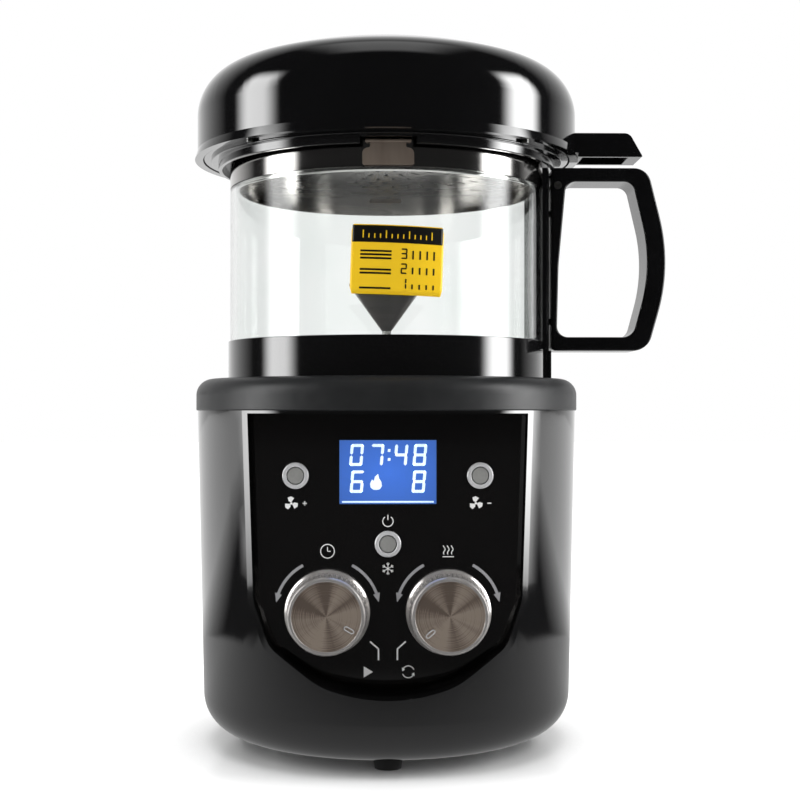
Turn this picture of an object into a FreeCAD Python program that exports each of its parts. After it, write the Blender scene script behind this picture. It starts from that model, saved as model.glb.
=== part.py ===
import FreeCAD, Part
import math
import os

# Home coffee bean roaster: a round base with motor, blower and heater, a lift-off glass
# roasting chamber with a D-shaped handle, a chaff filter and a domed lift-off lid.
# Millimetres, +Z up. The origin is on the body's axis at the level that the feet stand on.
# The control panel faces -Y and the handle points to +X.

# Base
BODY_R = 87.1
BODY_TAPER = 3.2
BODY_WALL = 2.5
BODY_CORNER_R = 18.0
BODY_TOP = 151.0
FOOT_HEIGHT = 4.8
FOOT_R = 6.5
FOOT_CIRCLE_R = 61.0
FOOT_COUNT = 4
FOOT_HOLE_R = 1.7
COVER_R = 52.0
COVER_LIP = 7.0
COVER_THICK = 1.5
SHELF_THICK = 1.2

# Shoulder ring and the socket that holds the chamber
RING_LIP = 0.7
RING_TOP = 165.4
RING_ROUND_R = 7.5
RING_WALL = 2.0
DECK_THICK = 1.5
SOCKET_WALL = 1.0
SOCKET_CLEAR = 0.4
SEAT_THICK = 1.5
THROAT_R = 36.0

# Control panel
PANEL_Y = -62.0
PANEL_THICK = 3.0
PANEL_GAP = 0.3
PANEL_BEVEL = 2.2
PANEL_BEVEL_DEPTH = 1.4
PANEL_TOP_HALF = 58.9
PANEL_SIDE_HALF = 56.4
PANEL_SIDE_Z = 71.0
PANEL_HIP_HALF = 49.5
PANEL_HIP_Z = 52.5
PANEL_LOW_HALF = 28.0
PANEL_LOW_Z = 37.5
PANEL_BOTTOM_Z = 31.0

# Display, buttons and knobs on the panel
LCD_WIDTH = 41.0
LCD_HEIGHT = 27.0
LCD_Z = 125.0
LCD_MODULE_MARGIN = 3.0
LCD_MODULE_THICK = 5.0
WINDOW_THICK = 1.5
BUTTON_R = 3.5
BUTTON_PROUD = 1.0
BUTTON_TRAVEL = 0.8
BUTTON_CLEAR = 0.3
BEZEL_R = 5.6
BEZEL_SLEEVE = 0.6
BEZEL_PROUD = 1.2
FAN_BUTTON_X = 39.0
FAN_BUTTON_Z = 123.5
POWER_BUTTON_Z = 94.6
KNOB_X = 25.5
KNOB_Z = 66.2
KNOB_SKIRT_R = 18.0
KNOB_SIDE_R = 17.0
KNOB_FACE_R = 15.6
KNOB_PROUD = 17.0
KNOB_LIFT = 1.2
KNOB_RIM = 1.2
KNOB_TRAVEL = 0.7
KNOB_GROOVES = 48
INSERT_THICK = 0.8
SHAFT_R = 3.0
SHAFT_CLEAR = 0.05
ROTOR_R = 4.0
BUSHING_WALL = 0.8

# Display board behind the panel
BOARD_Y = -47.0
BOARD_THICK = 1.6
BOARD_HALF_WIDTH = 50.0
BOARD_LOW_Z = 54.0
BOARD_HIGH_Z = 142.0
STANDOFF_R = 2.5
ENCODER_SIZE = 12.0
ENCODER_DEPTH = 8.0
SWITCH_SIZE = 6.0

# Motor, blower and heater
MOTOR_R = 19.0
MOTOR_LOW_Z = 22.0
MOTOR_TOP_Z = 64.0
MOTOR_SHAFT_R = 1.6
BRACKET_R = 49.0
BRACKET_THICK = 2.0
PILLAR_R = 4.0
PILLAR_CIRCLE_R = 44.0
BLOWER_R = 44.0
BLOWER_WALL = 1.5
BLOWER_TOP_Z = 92.0
FAN_R = 38.0
FAN_HUB_R = 8.0
FAN_BLADES = 12
FAN_BLADE_HEIGHT = 14.0
DUCT_R = 39.0
DUCT_WALL = 1.0
HEATER_RING_R = 30.0
HEATER_TUBE_R = 3.0
HEATER_TURNS = 3
HEATER_PITCH = 12.0
HEATER_LOW_Z = 108.0
MICA_THICK = 0.8

# Power board and cord gland
POWER_BOARD_HALF_X = 28.0
POWER_BOARD_LOW_Y = 43.0
POWER_BOARD_HIGH_Y = 68.0
POWER_BOARD_Z = 16.0
GLAND_Z = 38.0
GLAND_R = 6.5
GLAND_FLANGE_R = 9.0
GLAND_BORE_R = 3.6
GLAND_PROUD = 6.0

# Glass roasting chamber
BAND_R = 73.2
BAND_TOP = 182.6
BAND_WALL = 2.7
BAND_LIP_WALL = 0.7
GLASS_R = 72.3
GLASS_WALL = 3.0
GLASS_TOP = 252.5
GLASS_SEAT_Z = 176.0
GASKET_THICK = 1.5
SHELF_WIDTH = 4.5
SHELF_DEPTH = 2.5
KEY_DEPTH = 3.0
KEY_WIDTH = 12.0
KEY_LOW_Z = 160.5
AIR_PLATE_THICK = 0.8
AIR_SLOT_RINGS = ((14.0, 12), (29.0, 24), (44.0, 36), (58.0, 48))
AIR_SLOT_LENGTH = 9.0
AIR_SLOT_WIDTH = 1.6

# Deflector cone on the chamber's axis
CONE_TIP_R = 2.2
CONE_R = 17.5
CONE_TIP_Z = 187.9
CONE_SLOPE = 0.7266
CONE_SHEET = 0.8
CONE_CAP_RISE = 5.0
STEM_R = 2.0
NUT_R = 3.6
NUT_HEIGHT = 3.0

# Handle and the bar that carries it
BAR_WALL = 2.0
BAR_GAP = 0.1
BAR_HALF_WIDTH = 21.0
BAR_TOP = 260.8
BAR_LOW_Z = 178.7
HANDLE_HALF_WIDTH = 10.5
HANDLE_GAP = 0.4
HANDLE_TOP = 262.7
HANDLE_BOTTOM = 178.5
HANDLE_BAR = 6.3
HANDLE_LEG = 6.9
HANDLE_LEG_MID = 3.4
HANDLE_LEG_LOW = 2.6
HANDLE_REACH = 131.4
HANDLE_CORNER_X = 120.2
HANDLE_GRIP = 9.2
HANDLE_MID_Z = 218.0
HANDLE_EDGE_R = 1.0
NUB_X = 92.5
NUB_LENGTH = 5.0
NUB_HEIGHT = 1.0
PIN_R = 1.8
PIN_Z = 254.6
SCREW_R = 1.5
SCREW_HEAD_R = 2.8

# Filter between the glass and the lid
SLEEVE_SHEET = 0.8
SLEEVE_TOP = 266.0
SPIGOT_DEPTH = 1.5
SPIGOT_CLEAR = 0.3
FILTER_PLATE_Z = 264.4
FILTER_SLOT_RINGS = ((12.0, 10), (24.0, 20), (36.0, 30), (48.0, 40), (60.0, 50))
FILTER_SLOT_LENGTH = 7.0
FILTER_SLOT_WIDTH = 1.4
CHAFF_R = 62.0
CHAFF_HEIGHT = 22.0
CLIP_SLOT_WIDTH = 16.5
CLIP_SLOT_HEIGHT = 2.0
CLIP_SLOT_Z = 258.0

# Lid
LID_SHELF_WIDTH = 9.2
LID_WALL = 2.5
LID_TOP = 318.8
LID_SHOULDER_R = 22.6
LID_CROWN_R = 217.4
LID_RIM_FLARE = 1.2
LID_RIM_Z = 265.6
LID_CREASE_Z = 269.5
DECK_UNDER_Z = 266.0
LID_DECK_THICK = 2.0
DECK_STEP_WIDTH = 3.0
DECK_STEP_Z = 264.6
SKIRT_GAP = 3.7
SKIRT_WALL = 2.0
SKIRT_LOW_Z = 261.2
TAB_REACH = 117.8
TAB_TOP_REACH = 111.6
TAB_HALF_WIDTH = 11.2
TAB_LOW_Z = 267.6
TAB_TOP_Z = 278.5
TAB_WALL = 2.0
TAB_ROUND_R = 4.0
VENT_COUNT = 9
VENT_WIDTH = 2.5
VENT_HEIGHT = 12.0
VENT_Z = 276.0
VENT_STEP_DEG = 6.0

# Spring clips that hold the filter in the lid's skirt
CLIP_WIDTH = 21.5
CLIP_NECK = 15.0
CLIP_SHEET = 0.8
CLIP_GAP = 0.4
CLIP_LOW_Z = 252.8
CLIP_BODY_Z = 260.0
CLIP_TOP_Z = 262.9
CLIP_PIN_R = 0.7
CLIP_PIN_LENGTH = 19.0

CENTRE = FreeCAD.Vector(0, 0, 0)
UP = FreeCAD.Vector(0, 0, 1)


def vector(x, y, z):
    return FreeCAD.Vector(x, y, z)


def rounded_edges(points, place):
    """Edges of a closed outline. A point is (a, b) or (a, b, corner radius); place gives its Vector."""
    starts = []
    ends = []
    middles = []
    count = len(points)
    for i in range(count):
        a, b = points[i][0], points[i][1]
        radius = points[i][2] if len(points[i]) > 2 else 0.0
        before = points[i - 1]
        after = points[(i + 1) % count]
        if radius == 0.0:
            starts.append((a, b))
            ends.append((a, b))
            middles.append(None)
            continue
        la = math.hypot(before[0] - a, before[1] - b)
        lb = math.hypot(after[0] - a, after[1] - b)
        ua = ((before[0] - a) / la, (before[1] - b) / la)
        ub = ((after[0] - a) / lb, (after[1] - b) / lb)
        half = math.acos(max(-1.0, min(1.0, ua[0] * ub[0] + ua[1] * ub[1]))) / 2
        run = radius / math.tan(half)
        bisector = (ua[0] + ub[0], ua[1] + ub[1])
        size = math.hypot(bisector[0], bisector[1])
        reach = radius / math.sin(half) - radius
        starts.append((a + ua[0] * run, b + ua[1] * run))
        ends.append((a + ub[0] * run, b + ub[1] * run))
        middles.append((a + bisector[0] / size * reach, b + bisector[1] / size * reach))
    edges = []
    for i in range(count):
        if middles[i] is not None:
            edges.append(Part.Arc(place(*starts[i]), place(*middles[i]), place(*ends[i])).toShape())
        following = starts[(i + 1) % count]
        if math.hypot(following[0] - ends[i][0], following[1] - ends[i][1]) > 1e-6:
            edges.append(Part.LineSegment(place(*ends[i]), place(*following)).toShape())
    return edges


def face_of(points, place):
    return Part.Face(Part.Wire(rounded_edges(points, place)))


def turned(points):
    """Solid of an (r, z) outline turned once about the Z axis."""
    face = face_of(points, lambda r, z: vector(r, 0, z))
    return face.revolve(CENTRE, UP, 360)


def turned_on_panel(points, x, z):
    """Solid of an (r, t) outline turned about the panel's normal; t is the height above the panel."""
    face = face_of(points, lambda r, t: vector(x + r, PANEL_Y - t, z))
    return face.revolve(vector(x, PANEL_Y, z), vector(0, 1, 0), 360)


def across(points, y0, y1):
    """Solid of an (x, z) outline from y0 to y1."""
    face = face_of(points, lambda x, z: vector(x, y0, z))
    return face.extrude(vector(0, y1 - y0, 0))


def upright(points, z0, z1):
    """Solid of an (x, y) outline from z0 to z1."""
    face = face_of(points, lambda x, y: vector(x, y, z0))
    return face.extrude(vector(0, 0, z1 - z0))


def box(x0, x1, y0, y1, z0, z1):
    return Part.makeBox(x1 - x0, y1 - y0, z1 - z0, vector(x0, y0, z0))


def rod(radius, start, end):
    """Cylinder from point start to point end."""
    direction = end.sub(start)
    return Part.makeCylinder(radius, direction.Length, start, direction)


def post(radius, x, y, z0, z1):
    return Part.makeCylinder(radius, z1 - z0, vector(x, y, z0), UP)


def tube(outer, inner, z0, z1):
    return post(outer, 0, 0, z0, z1).cut(post(inner, 0, 0, z0 - 1, z1 + 1))


def panel_rod(radius, x, z, y0, y1):
    return Part.makeCylinder(radius, y1 - y0, vector(x, y0, z), vector(0, 1, 0))


def on_circle(radius, degrees):
    angle = math.radians(degrees)
    return radius * math.cos(angle), radius * math.sin(angle)


def around(shape, count, start=0.0, step=None):
    """Copies of shape turned about the Z axis."""
    turn = 360.0 / count if step is None else step
    copies = []
    for i in range(count):
        copy = shape.copy()
        copy.rotate(CENTRE, UP, start + i * turn)
        copies.append(copy)
    return copies


def radial_slots(rings, length, width, z0, z1):
    """Cutters for rings of radial slots, each ring given as (middle radius, count)."""
    cutters = []
    for radius, count in rings:
        slot = box(radius - length / 2, radius + length / 2, -width / 2, width / 2, z0, z1)
        cutters.extend(around(slot, count))
    return Part.makeCompound(cutters)


def save(name, shapes):
    """Write one node: one solid, or several separate ones."""
    solids = []
    for shape in shapes if isinstance(shapes, list) else [shapes]:
        solids.extend(shape.Solids)
    node = solids[0] if len(solids) == 1 else Part.makeCompound(solids)
    node.exportStep("parts/" + name + ".step")


# Levels and sizes worked out from the driving dimensions
BODY_BOTTOM = FOOT_HEIGHT
FLOOR_Z = BODY_BOTTOM + BODY_WALL
PANEL_BACK = PANEL_Y + PANEL_THICK
PANEL_TOP = BODY_TOP - SHELF_THICK - PANEL_GAP
INNER_WALL_Y = PANEL_BACK + BODY_WALL
DECK_TOP = BODY_TOP + DECK_THICK
SOCKET_R = BAND_R + SOCKET_CLEAR
SOCKET_OUT_R = SOCKET_R + SOCKET_WALL
RING_R = BODY_R + RING_LIP
BODY_LOW_R = BODY_R - BODY_TAPER
SOCKET_FLOOR_Z = DECK_TOP + SOCKET_WALL
BAND_BOTTOM = SOCKET_FLOOR_Z + SEAT_THICK
BAND_IN_R = BAND_R - BAND_WALL
GLASS_IN_R = GLASS_R - GLASS_WALL
GLASS_BOTTOM = GLASS_SEAT_Z + GASKET_THICK
BAR_IN_R = BAND_R + BAR_GAP
BAR_OUT_R = BAR_IN_R + BAR_WALL
HANDLE_X = BAR_OUT_R + HANDLE_GAP
SKIRT_R = GLASS_R + SKIRT_GAP
DECK_STEP_R = SKIRT_R + SKIRT_WALL + DECK_STEP_WIDTH
LID_R = SKIRT_R + SKIRT_WALL + LID_SHELF_WIDTH
LID_RIM_R = LID_R + LID_RIM_FLARE
DECK_OUT_R = LID_R - LID_WALL - PANEL_GAP
BRACKET_Z = MOTOR_TOP_Z
BLOWER_LOW_Z = BRACKET_Z + BRACKET_THICK
CONE_RIM_Z = CONE_TIP_Z + (CONE_R - CONE_TIP_R) / CONE_SLOPE
CONE_CAP_Z = CONE_RIM_Z + CONE_CAP_RISE
ROTOR_BORE_R = ROTOR_R + SHAFT_CLEAR
BUSHING_R = ROTOR_BORE_R + BUSHING_WALL
PANEL_HOLE_R = BUSHING_R + PANEL_GAP
BEZEL_HOLE_R = BUTTON_R + BUTTON_CLEAR + BEZEL_SLEEVE
KNOBS = (("time", -KNOB_X), ("heat", KNOB_X))
BUTTONS = (
    ("fan_up_button", -FAN_BUTTON_X, FAN_BUTTON_Z),
    ("fan_down_button", FAN_BUTTON_X, FAN_BUTTON_Z),
    ("power_button", 0.0, POWER_BUTTON_Z),
)
BOARD_CORNERS = [
    (side * (BOARD_HALF_WIDTH - 4), z)
    for side in (-1, 1)
    for z in (BOARD_LOW_Z + 28, BOARD_HIGH_Z - 4)
]


def shield(grow, top):
    """Outline of the control panel: wide at the top, drawn in to a shallow V at the bottom."""
    return [
        (-PANEL_TOP_HALF - grow, top),
        (-PANEL_SIDE_HALF - grow, PANEL_SIDE_Z, 14),
        (-PANEL_HIP_HALF - grow, PANEL_HIP_Z - grow / 2, 12),
        (-PANEL_LOW_HALF, PANEL_LOW_Z - grow, 35),
        (0, PANEL_BOTTOM_Z - grow, 80),
        (PANEL_LOW_HALF, PANEL_LOW_Z - grow, 35),
        (PANEL_HIP_HALF + grow, PANEL_HIP_Z - grow / 2, 12),
        (PANEL_SIDE_HALF + grow, PANEL_SIDE_Z, 14),
        (PANEL_TOP_HALF + grow, top),
    ]


def wall_radius(z):
    """Radius of the body's outer wall, which narrows towards the bottom."""
    return BODY_LOW_R + (BODY_R - BODY_LOW_R) * (z - BODY_BOTTOM) / (BODY_TOP - BODY_BOTTOM)


def base_housing():
    inner_corner = BODY_CORNER_R - BODY_WALL
    shell = turned([
        (BODY_R, BODY_TOP),
        (BODY_LOW_R, BODY_BOTTOM, BODY_CORNER_R),
        (COVER_R, BODY_BOTTOM),
        (COVER_R, FLOOR_Z),
        (BODY_LOW_R - BODY_WALL, FLOOR_Z, inner_corner),
        (BODY_R - BODY_WALL, BODY_TOP),
    ])
    whole = turned([
        (BODY_R, BODY_TOP),
        (BODY_LOW_R, BODY_BOTTOM, BODY_CORNER_R),
        (0, BODY_BOTTOM),
        (0, BODY_TOP),
    ])
    front = -BODY_R - 1
    recess = across(shield(PANEL_GAP, BODY_TOP - SHELF_THICK), front, PANEL_BACK)
    tray = across(shield(PANEL_GAP + BODY_WALL, BODY_TOP), front, INNER_WALL_Y)
    housing = shell.fuse(tray.common(whole)).cut(recess)
    half_width = LCD_WIDTH / 2 + LCD_MODULE_MARGIN + PANEL_GAP
    half_height = LCD_HEIGHT / 2 + LCD_MODULE_MARGIN + PANEL_GAP
    cutters = [box(-half_width, half_width, PANEL_BACK - 1, INNER_WALL_Y + 1,
                   LCD_Z - half_height, LCD_Z + half_height)]
    for _, x in KNOBS:
        cutters.append(panel_rod(PANEL_HOLE_R, x, KNOB_Z, PANEL_BACK - 1, INNER_WALL_Y + 1))
    for _, x, z in BUTTONS:
        cutters.append(panel_rod(BEZEL_HOLE_R, x, z, PANEL_BACK - 1, INNER_WALL_Y + 1))
    cutters.append(panel_rod(GLAND_R, 0, GLAND_Z, wall_radius(GLAND_Z) - 10, BODY_R + 1))
    for x, y in screw_places():
        cutters.append(post(SCREW_R, x, y, BODY_BOTTOM - 1, FLOOR_Z + 1))
    for x, y in foot_places():
        cutters.append(post(FOOT_HOLE_R, x, y, BODY_BOTTOM - 1, FLOOR_Z + 1))
    return housing.cut(Part.makeCompound(cutters))


def screw_places():
    return [on_circle(COVER_R + COVER_LIP / 2, 45 + 90 * i) for i in range(4)]


def bottom_cover():
    edge_r = COVER_R - PANEL_GAP
    lip_r = COVER_R + COVER_LIP
    cover = turned([
        (0, BODY_BOTTOM),
        (edge_r, BODY_BOTTOM),
        (edge_r, FLOOR_Z),
        (lip_r, FLOOR_Z),
        (lip_r, FLOOR_Z + COVER_THICK),
        (edge_r - COVER_THICK, FLOOR_Z + COVER_THICK),
        (edge_r - COVER_THICK, FLOOR_Z),
        (0, FLOOR_Z),
    ])
    bosses = [post(SCREW_R + 1.5, x, y, FLOOR_Z + COVER_THICK, FLOOR_Z + 7) for x, y in screw_places()]
    cover = cover.fuse(bosses)
    holes = [post(SCREW_R, x, y, FLOOR_Z - 1, FLOOR_Z + 6) for x, y in screw_places()]
    slots = radial_slots(((12, 10), (24, 20), (35, 30)), 8, 2.2, BODY_BOTTOM - 1, FLOOR_Z + 1)
    return cover.cut(Part.makeCompound(holes + [slots]))


def bottom_screws():
    screws = []
    for x, y in screw_places():
        head = post(SCREW_HEAD_R, x, y, BODY_BOTTOM - 1.5, BODY_BOTTOM)
        cross = box(x - 1.8, x + 1.8, y - 0.4, y + 0.4, BODY_BOTTOM - 1.6, BODY_BOTTOM - 0.8)
        shank = post(SCREW_R, x, y, BODY_BOTTOM, FLOOR_Z + 6)
        screws.append(head.fuse(shank).cut(cross))
    return screws


def foot_places():
    return [on_circle(FOOT_CIRCLE_R, -90 + i * 360 / FOOT_COUNT) for i in range(FOOT_COUNT)]


def rubber_feet():
    """Ring-shaped feet; the hole through each runs on through the housing's floor."""
    feet = []
    for x, y in foot_places():
        foot = Part.makeCone(FOOT_R - 0.8, FOOT_R, FOOT_HEIGHT, vector(x, y, 0), UP)
        feet.append(foot.cut(post(FOOT_HOLE_R, x, y, -1, FOOT_HEIGHT + 1)))
    return feet


def control_panel():
    bevel_y = PANEL_Y + PANEL_BEVEL_DEPTH
    plate = across(shield(0, PANEL_TOP), bevel_y, PANEL_BACK)
    low = Part.Wire(rounded_edges(shield(0, PANEL_TOP), lambda x, z: vector(x, bevel_y, z)))
    high = Part.Wire(rounded_edges(shield(-PANEL_BEVEL, PANEL_TOP), lambda x, z: vector(x, PANEL_Y, z)))
    plate = plate.fuse(Part.makeLoft([low, high], True, True))
    cutters = [box(-LCD_WIDTH / 2, LCD_WIDTH / 2, PANEL_Y - 1, PANEL_BACK + 1,
                   LCD_Z - LCD_HEIGHT / 2, LCD_Z + LCD_HEIGHT / 2)]
    for _, x in KNOBS:
        cutters.append(panel_rod(PANEL_HOLE_R, x, KNOB_Z, PANEL_Y - 1, PANEL_BACK + 1))
    for _, x, z in BUTTONS:
        cutters.append(panel_rod(BEZEL_HOLE_R, x, z, PANEL_Y - 1, PANEL_BACK + 1))
    return plate.cut(Part.makeCompound(cutters))


def lcd_window():
    half = LCD_WIDTH / 2 - 0.1
    tall = LCD_HEIGHT / 2 - 0.1
    face_y = PANEL_Y + 0.3
    return box(-half, half, face_y, face_y + WINDOW_THICK, LCD_Z - tall, LCD_Z + tall)


def lcd_module():
    half = LCD_WIDTH / 2 + LCD_MODULE_MARGIN
    tall = LCD_HEIGHT / 2 + LCD_MODULE_MARGIN
    base = box(-half, half, PANEL_BACK, PANEL_BACK + LCD_MODULE_THICK, LCD_Z - tall, LCD_Z + tall)
    screen = box(-LCD_WIDTH / 2 + 0.3, LCD_WIDTH / 2 - 0.3, PANEL_Y + 0.3 + WINDOW_THICK, PANEL_BACK,
                 LCD_Z - LCD_HEIGHT / 2 + 0.3, LCD_Z + LCD_HEIGHT / 2 - 0.3)
    pins = []
    for side in (-1, 1):
        x = side * (half - 3)
        pins.append(box(x - 2, x + 2, PANEL_BACK + LCD_MODULE_THICK, BOARD_Y, LCD_Z - 8, LCD_Z + 8))
    return base.fuse([screen] + pins)


def display_board():
    board = across([
        (-BOARD_HALF_WIDTH, BOARD_LOW_Z + 24, 3),
        (-BOARD_HALF_WIDTH + 14, BOARD_LOW_Z, 3),
        (BOARD_HALF_WIDTH - 14, BOARD_LOW_Z, 3),
        (BOARD_HALF_WIDTH, BOARD_LOW_Z + 24, 3),
        (BOARD_HALF_WIDTH, BOARD_HIGH_Z, 3),
        (-BOARD_HALF_WIDTH, BOARD_HIGH_Z, 3),
    ], BOARD_Y, BOARD_Y + BOARD_THICK)
    holes = [panel_rod(SCREW_R, x, z, BOARD_Y - 1, BOARD_Y + BOARD_THICK + 1) for x, z in BOARD_CORNERS]
    return board.cut(Part.makeCompound(holes))


def board_standoffs():
    posts = []
    for x, z in BOARD_CORNERS:
        sleeve = panel_rod(STANDOFF_R, x, z, INNER_WALL_Y, BOARD_Y)
        posts.append(sleeve.cut(panel_rod(SCREW_R, x, z, BOARD_Y - 5, BOARD_Y + 1)))
    return posts


def board_screws():
    screws = []
    for x, z in BOARD_CORNERS:
        back = BOARD_Y + BOARD_THICK
        shank = panel_rod(SCREW_R, x, z, BOARD_Y - 5, back)
        screws.append(shank.fuse(panel_rod(SCREW_HEAD_R, x, z, back, back + 1.6)))
    return screws


def button_cap(x, z):
    """Round cap with a thinner stem; it moves towards +Y and its stem stops short of the switch."""
    switch_top = BOARD_Y - 4.0
    cap = panel_rod(BUTTON_R, x, z, PANEL_Y - BUTTON_PROUD, PANEL_BACK + 1)
    stem = panel_rod(BUTTON_R / 2, x, z, PANEL_BACK + 1, switch_top - BUTTON_TRAVEL - 0.2)
    button = cap.fuse(stem)
    rim = [edge for edge in button.Edges if abs(edge.CenterOfMass.y - (PANEL_Y - BUTTON_PROUD)) < 1e-4]
    return button.makeFillet(0.5, rim)


def button_bezels():
    inner = BUTTON_R + BUTTON_CLEAR
    rings = []
    for _, x, z in BUTTONS:
        rings.append(turned_on_panel([
            (inner, -PANEL_THICK),
            (inner + BEZEL_SLEEVE, -PANEL_THICK),
            (inner + BEZEL_SLEEVE, 0),
            (BEZEL_R, 0),
            (BEZEL_R, BEZEL_PROUD, 0.7),
            (inner, BEZEL_PROUD, 0.4),
        ], x, z))
    return rings


def button_switches():
    switches = []
    for _, x, z in BUTTONS:
        half = SWITCH_SIZE / 2
        body = box(x - half, x + half, BOARD_Y - 3.4, BOARD_Y, z - half, z + half)
        switches.append(body.fuse(panel_rod(1.7, x, z, BOARD_Y - 4.0, BOARD_Y - 3.4)))
    return switches


def knob_body(x):
    """Knob with a skirt, a grooved side that narrows to the front and a hub on the shaft."""
    hub_depth = KNOB_PROUD - 4
    knob = turned_on_panel([
        (SHAFT_R, KNOB_LIFT + 0.4),
        (SHAFT_R + 3, KNOB_LIFT + 0.4),
        (SHAFT_R + 3, hub_depth),
        (KNOB_FACE_R - 1.6, hub_depth),
        (KNOB_FACE_R - 0.4, KNOB_LIFT),
        (KNOB_SKIRT_R, KNOB_LIFT),
        (KNOB_SKIRT_R, KNOB_LIFT + 3.2, 0.6),
        (KNOB_SIDE_R, KNOB_LIFT + 4.2),
        (KNOB_FACE_R + 0.6, KNOB_PROUD - 1.0),
        (KNOB_FACE_R, KNOB_PROUD, 0.4),
        (KNOB_FACE_R - KNOB_RIM, KNOB_PROUD, 0.3),
        (KNOB_FACE_R - KNOB_RIM, KNOB_PROUD - INSERT_THICK - 0.4),
        (0, KNOB_PROUD - INSERT_THICK - 0.4),
        (0, hub_depth),
        (SHAFT_R, hub_depth),
    ], x, KNOB_Z)
    start = PANEL_Y - KNOB_PROUD + 1.6
    end = PANEL_Y - KNOB_LIFT - 4.2
    grooves = []
    for i in range(KNOB_GROOVES):
        a, b = on_circle(1.0, i * 360 / KNOB_GROOVES)
        front = vector(x + a * (KNOB_FACE_R + 0.9), start, KNOB_Z + b * (KNOB_FACE_R + 0.9))
        back = vector(x + a * (KNOB_SIDE_R + 0.3), end, KNOB_Z + b * (KNOB_SIDE_R + 0.3))
        grooves.append(rod(0.55, front, back))
    return knob.cut(Part.makeCompound(grooves))


def knob_face(x):
    """Thin metal disc let into the front of a knob, with a short pressed pointer groove."""
    top = PANEL_Y - KNOB_PROUD + 0.4
    disc = panel_rod(KNOB_FACE_R - KNOB_RIM, x, KNOB_Z, top, top + INSERT_THICK)
    angle = math.radians(-35 if x < 0 else 215)
    far = KNOB_FACE_R - KNOB_RIM - 3
    near = far - 3.4
    direction = (math.cos(angle), math.sin(angle))
    groove = rod(0.8, vector(x + direction[0] * near, top - 0.45, KNOB_Z + direction[1] * near),
                 vector(x + direction[0] * far, top - 0.45, KNOB_Z + direction[1] * far))
    return disc.cut(groove)


def knob_shaft(x):
    shaft = panel_rod(SHAFT_R, x, KNOB_Z, PANEL_Y - KNOB_PROUD + 4, BOARD_Y - 3.2)
    return shaft


def encoder_rotor(x):
    """Hub that turns with the shaft and lets it slide through."""
    sleeve = panel_rod(ROTOR_R, x, KNOB_Z, PANEL_Y + 1.6, BOARD_Y - 3.0)
    return sleeve.cut(panel_rod(SHAFT_R + SHAFT_CLEAR, x, KNOB_Z, PANEL_Y, BOARD_Y))


def encoder_bodies():
    bodies = []
    for _, x in KNOBS:
        half = ENCODER_SIZE / 2
        body = box(x - half, x + half, BOARD_Y - ENCODER_DEPTH, BOARD_Y, KNOB_Z - half, KNOB_Z + half)
        body = body.fuse(panel_rod(BUSHING_R, x, KNOB_Z, PANEL_Y + 1, BOARD_Y - ENCODER_DEPTH))
        bodies.append(body.cut(panel_rod(ROTOR_BORE_R, x, KNOB_Z, PANEL_Y, BOARD_Y - 1.5)))
    return bodies


def shoulder_ring():
    """Channel section, open below; its inner wall stands on the deck."""
    ring = turned([
        (RING_R, BODY_TOP, 0.6),
        (RING_R, RING_TOP, RING_ROUND_R),
        (SOCKET_OUT_R, RING_TOP, 0.6),
        (SOCKET_OUT_R, DECK_TOP),
        (SOCKET_OUT_R + RING_WALL, DECK_TOP),
        (SOCKET_OUT_R + RING_WALL, RING_TOP - RING_WALL - 0.5),
        (RING_R - RING_WALL - 0.5, RING_TOP - RING_WALL - 0.5, RING_ROUND_R - RING_WALL),
        (RING_R - RING_WALL - 0.5, BODY_TOP),
    ])
    return ring.cut(key_notch(SOCKET_OUT_R + RING_WALL + 1))


def key_notch(reach):
    """Space for the key that stops the chamber from turning in its socket."""
    half = KEY_WIDTH / 2 + SOCKET_CLEAR
    return box(BAND_R - 5, reach, -half, half, KEY_LOW_Z - SOCKET_CLEAR, RING_TOP + 1)


def top_deck():
    disc = tube(RING_R - RING_WALL - 0.7, THROAT_R, BODY_TOP, DECK_TOP)
    return disc


def chamber_socket():
    cup = turned([
        (THROAT_R, DECK_TOP),
        (SOCKET_OUT_R, DECK_TOP, 1.4),
        (SOCKET_OUT_R, RING_TOP - 1),
        (SOCKET_R, RING_TOP - 1),
        (SOCKET_R, SOCKET_FLOOR_Z),
        (THROAT_R, SOCKET_FLOOR_Z),
    ])
    return cup.cut(key_notch(SOCKET_OUT_R + 1))


def seat_gasket():
    return tube(BAND_R - 0.4, BAND_IN_R, SOCKET_FLOOR_Z, BAND_BOTTOM)


def motor_body():
    body = post(MOTOR_R, 0, 0, MOTOR_LOW_Z, MOTOR_TOP_Z)
    cap = post(6.0, 0, 0, MOTOR_LOW_Z - 4, MOTOR_LOW_Z)
    bore = post(MOTOR_SHAFT_R + SHAFT_CLEAR, 0, 0, MOTOR_LOW_Z, MOTOR_TOP_Z + 1)
    seat = post(4.0, 0, 0, MOTOR_TOP_Z - 4, MOTOR_TOP_Z + 1)
    terminals = [box(side * 10 - 0.4, side * 10 + 0.4, -2.4, 2.4, MOTOR_LOW_Z - 6, MOTOR_LOW_Z)
                 for side in (-1, 1)]
    return body.fuse([cap] + terminals).cut(bore).cut(seat)


def motor_bearing():
    return tube(4.0, MOTOR_SHAFT_R + SHAFT_CLEAR, MOTOR_TOP_Z - 4, MOTOR_TOP_Z)


def motor_shaft():
    return post(MOTOR_SHAFT_R, 0, 0, MOTOR_LOW_Z + 1, BLOWER_TOP_Z - 4)


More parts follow.
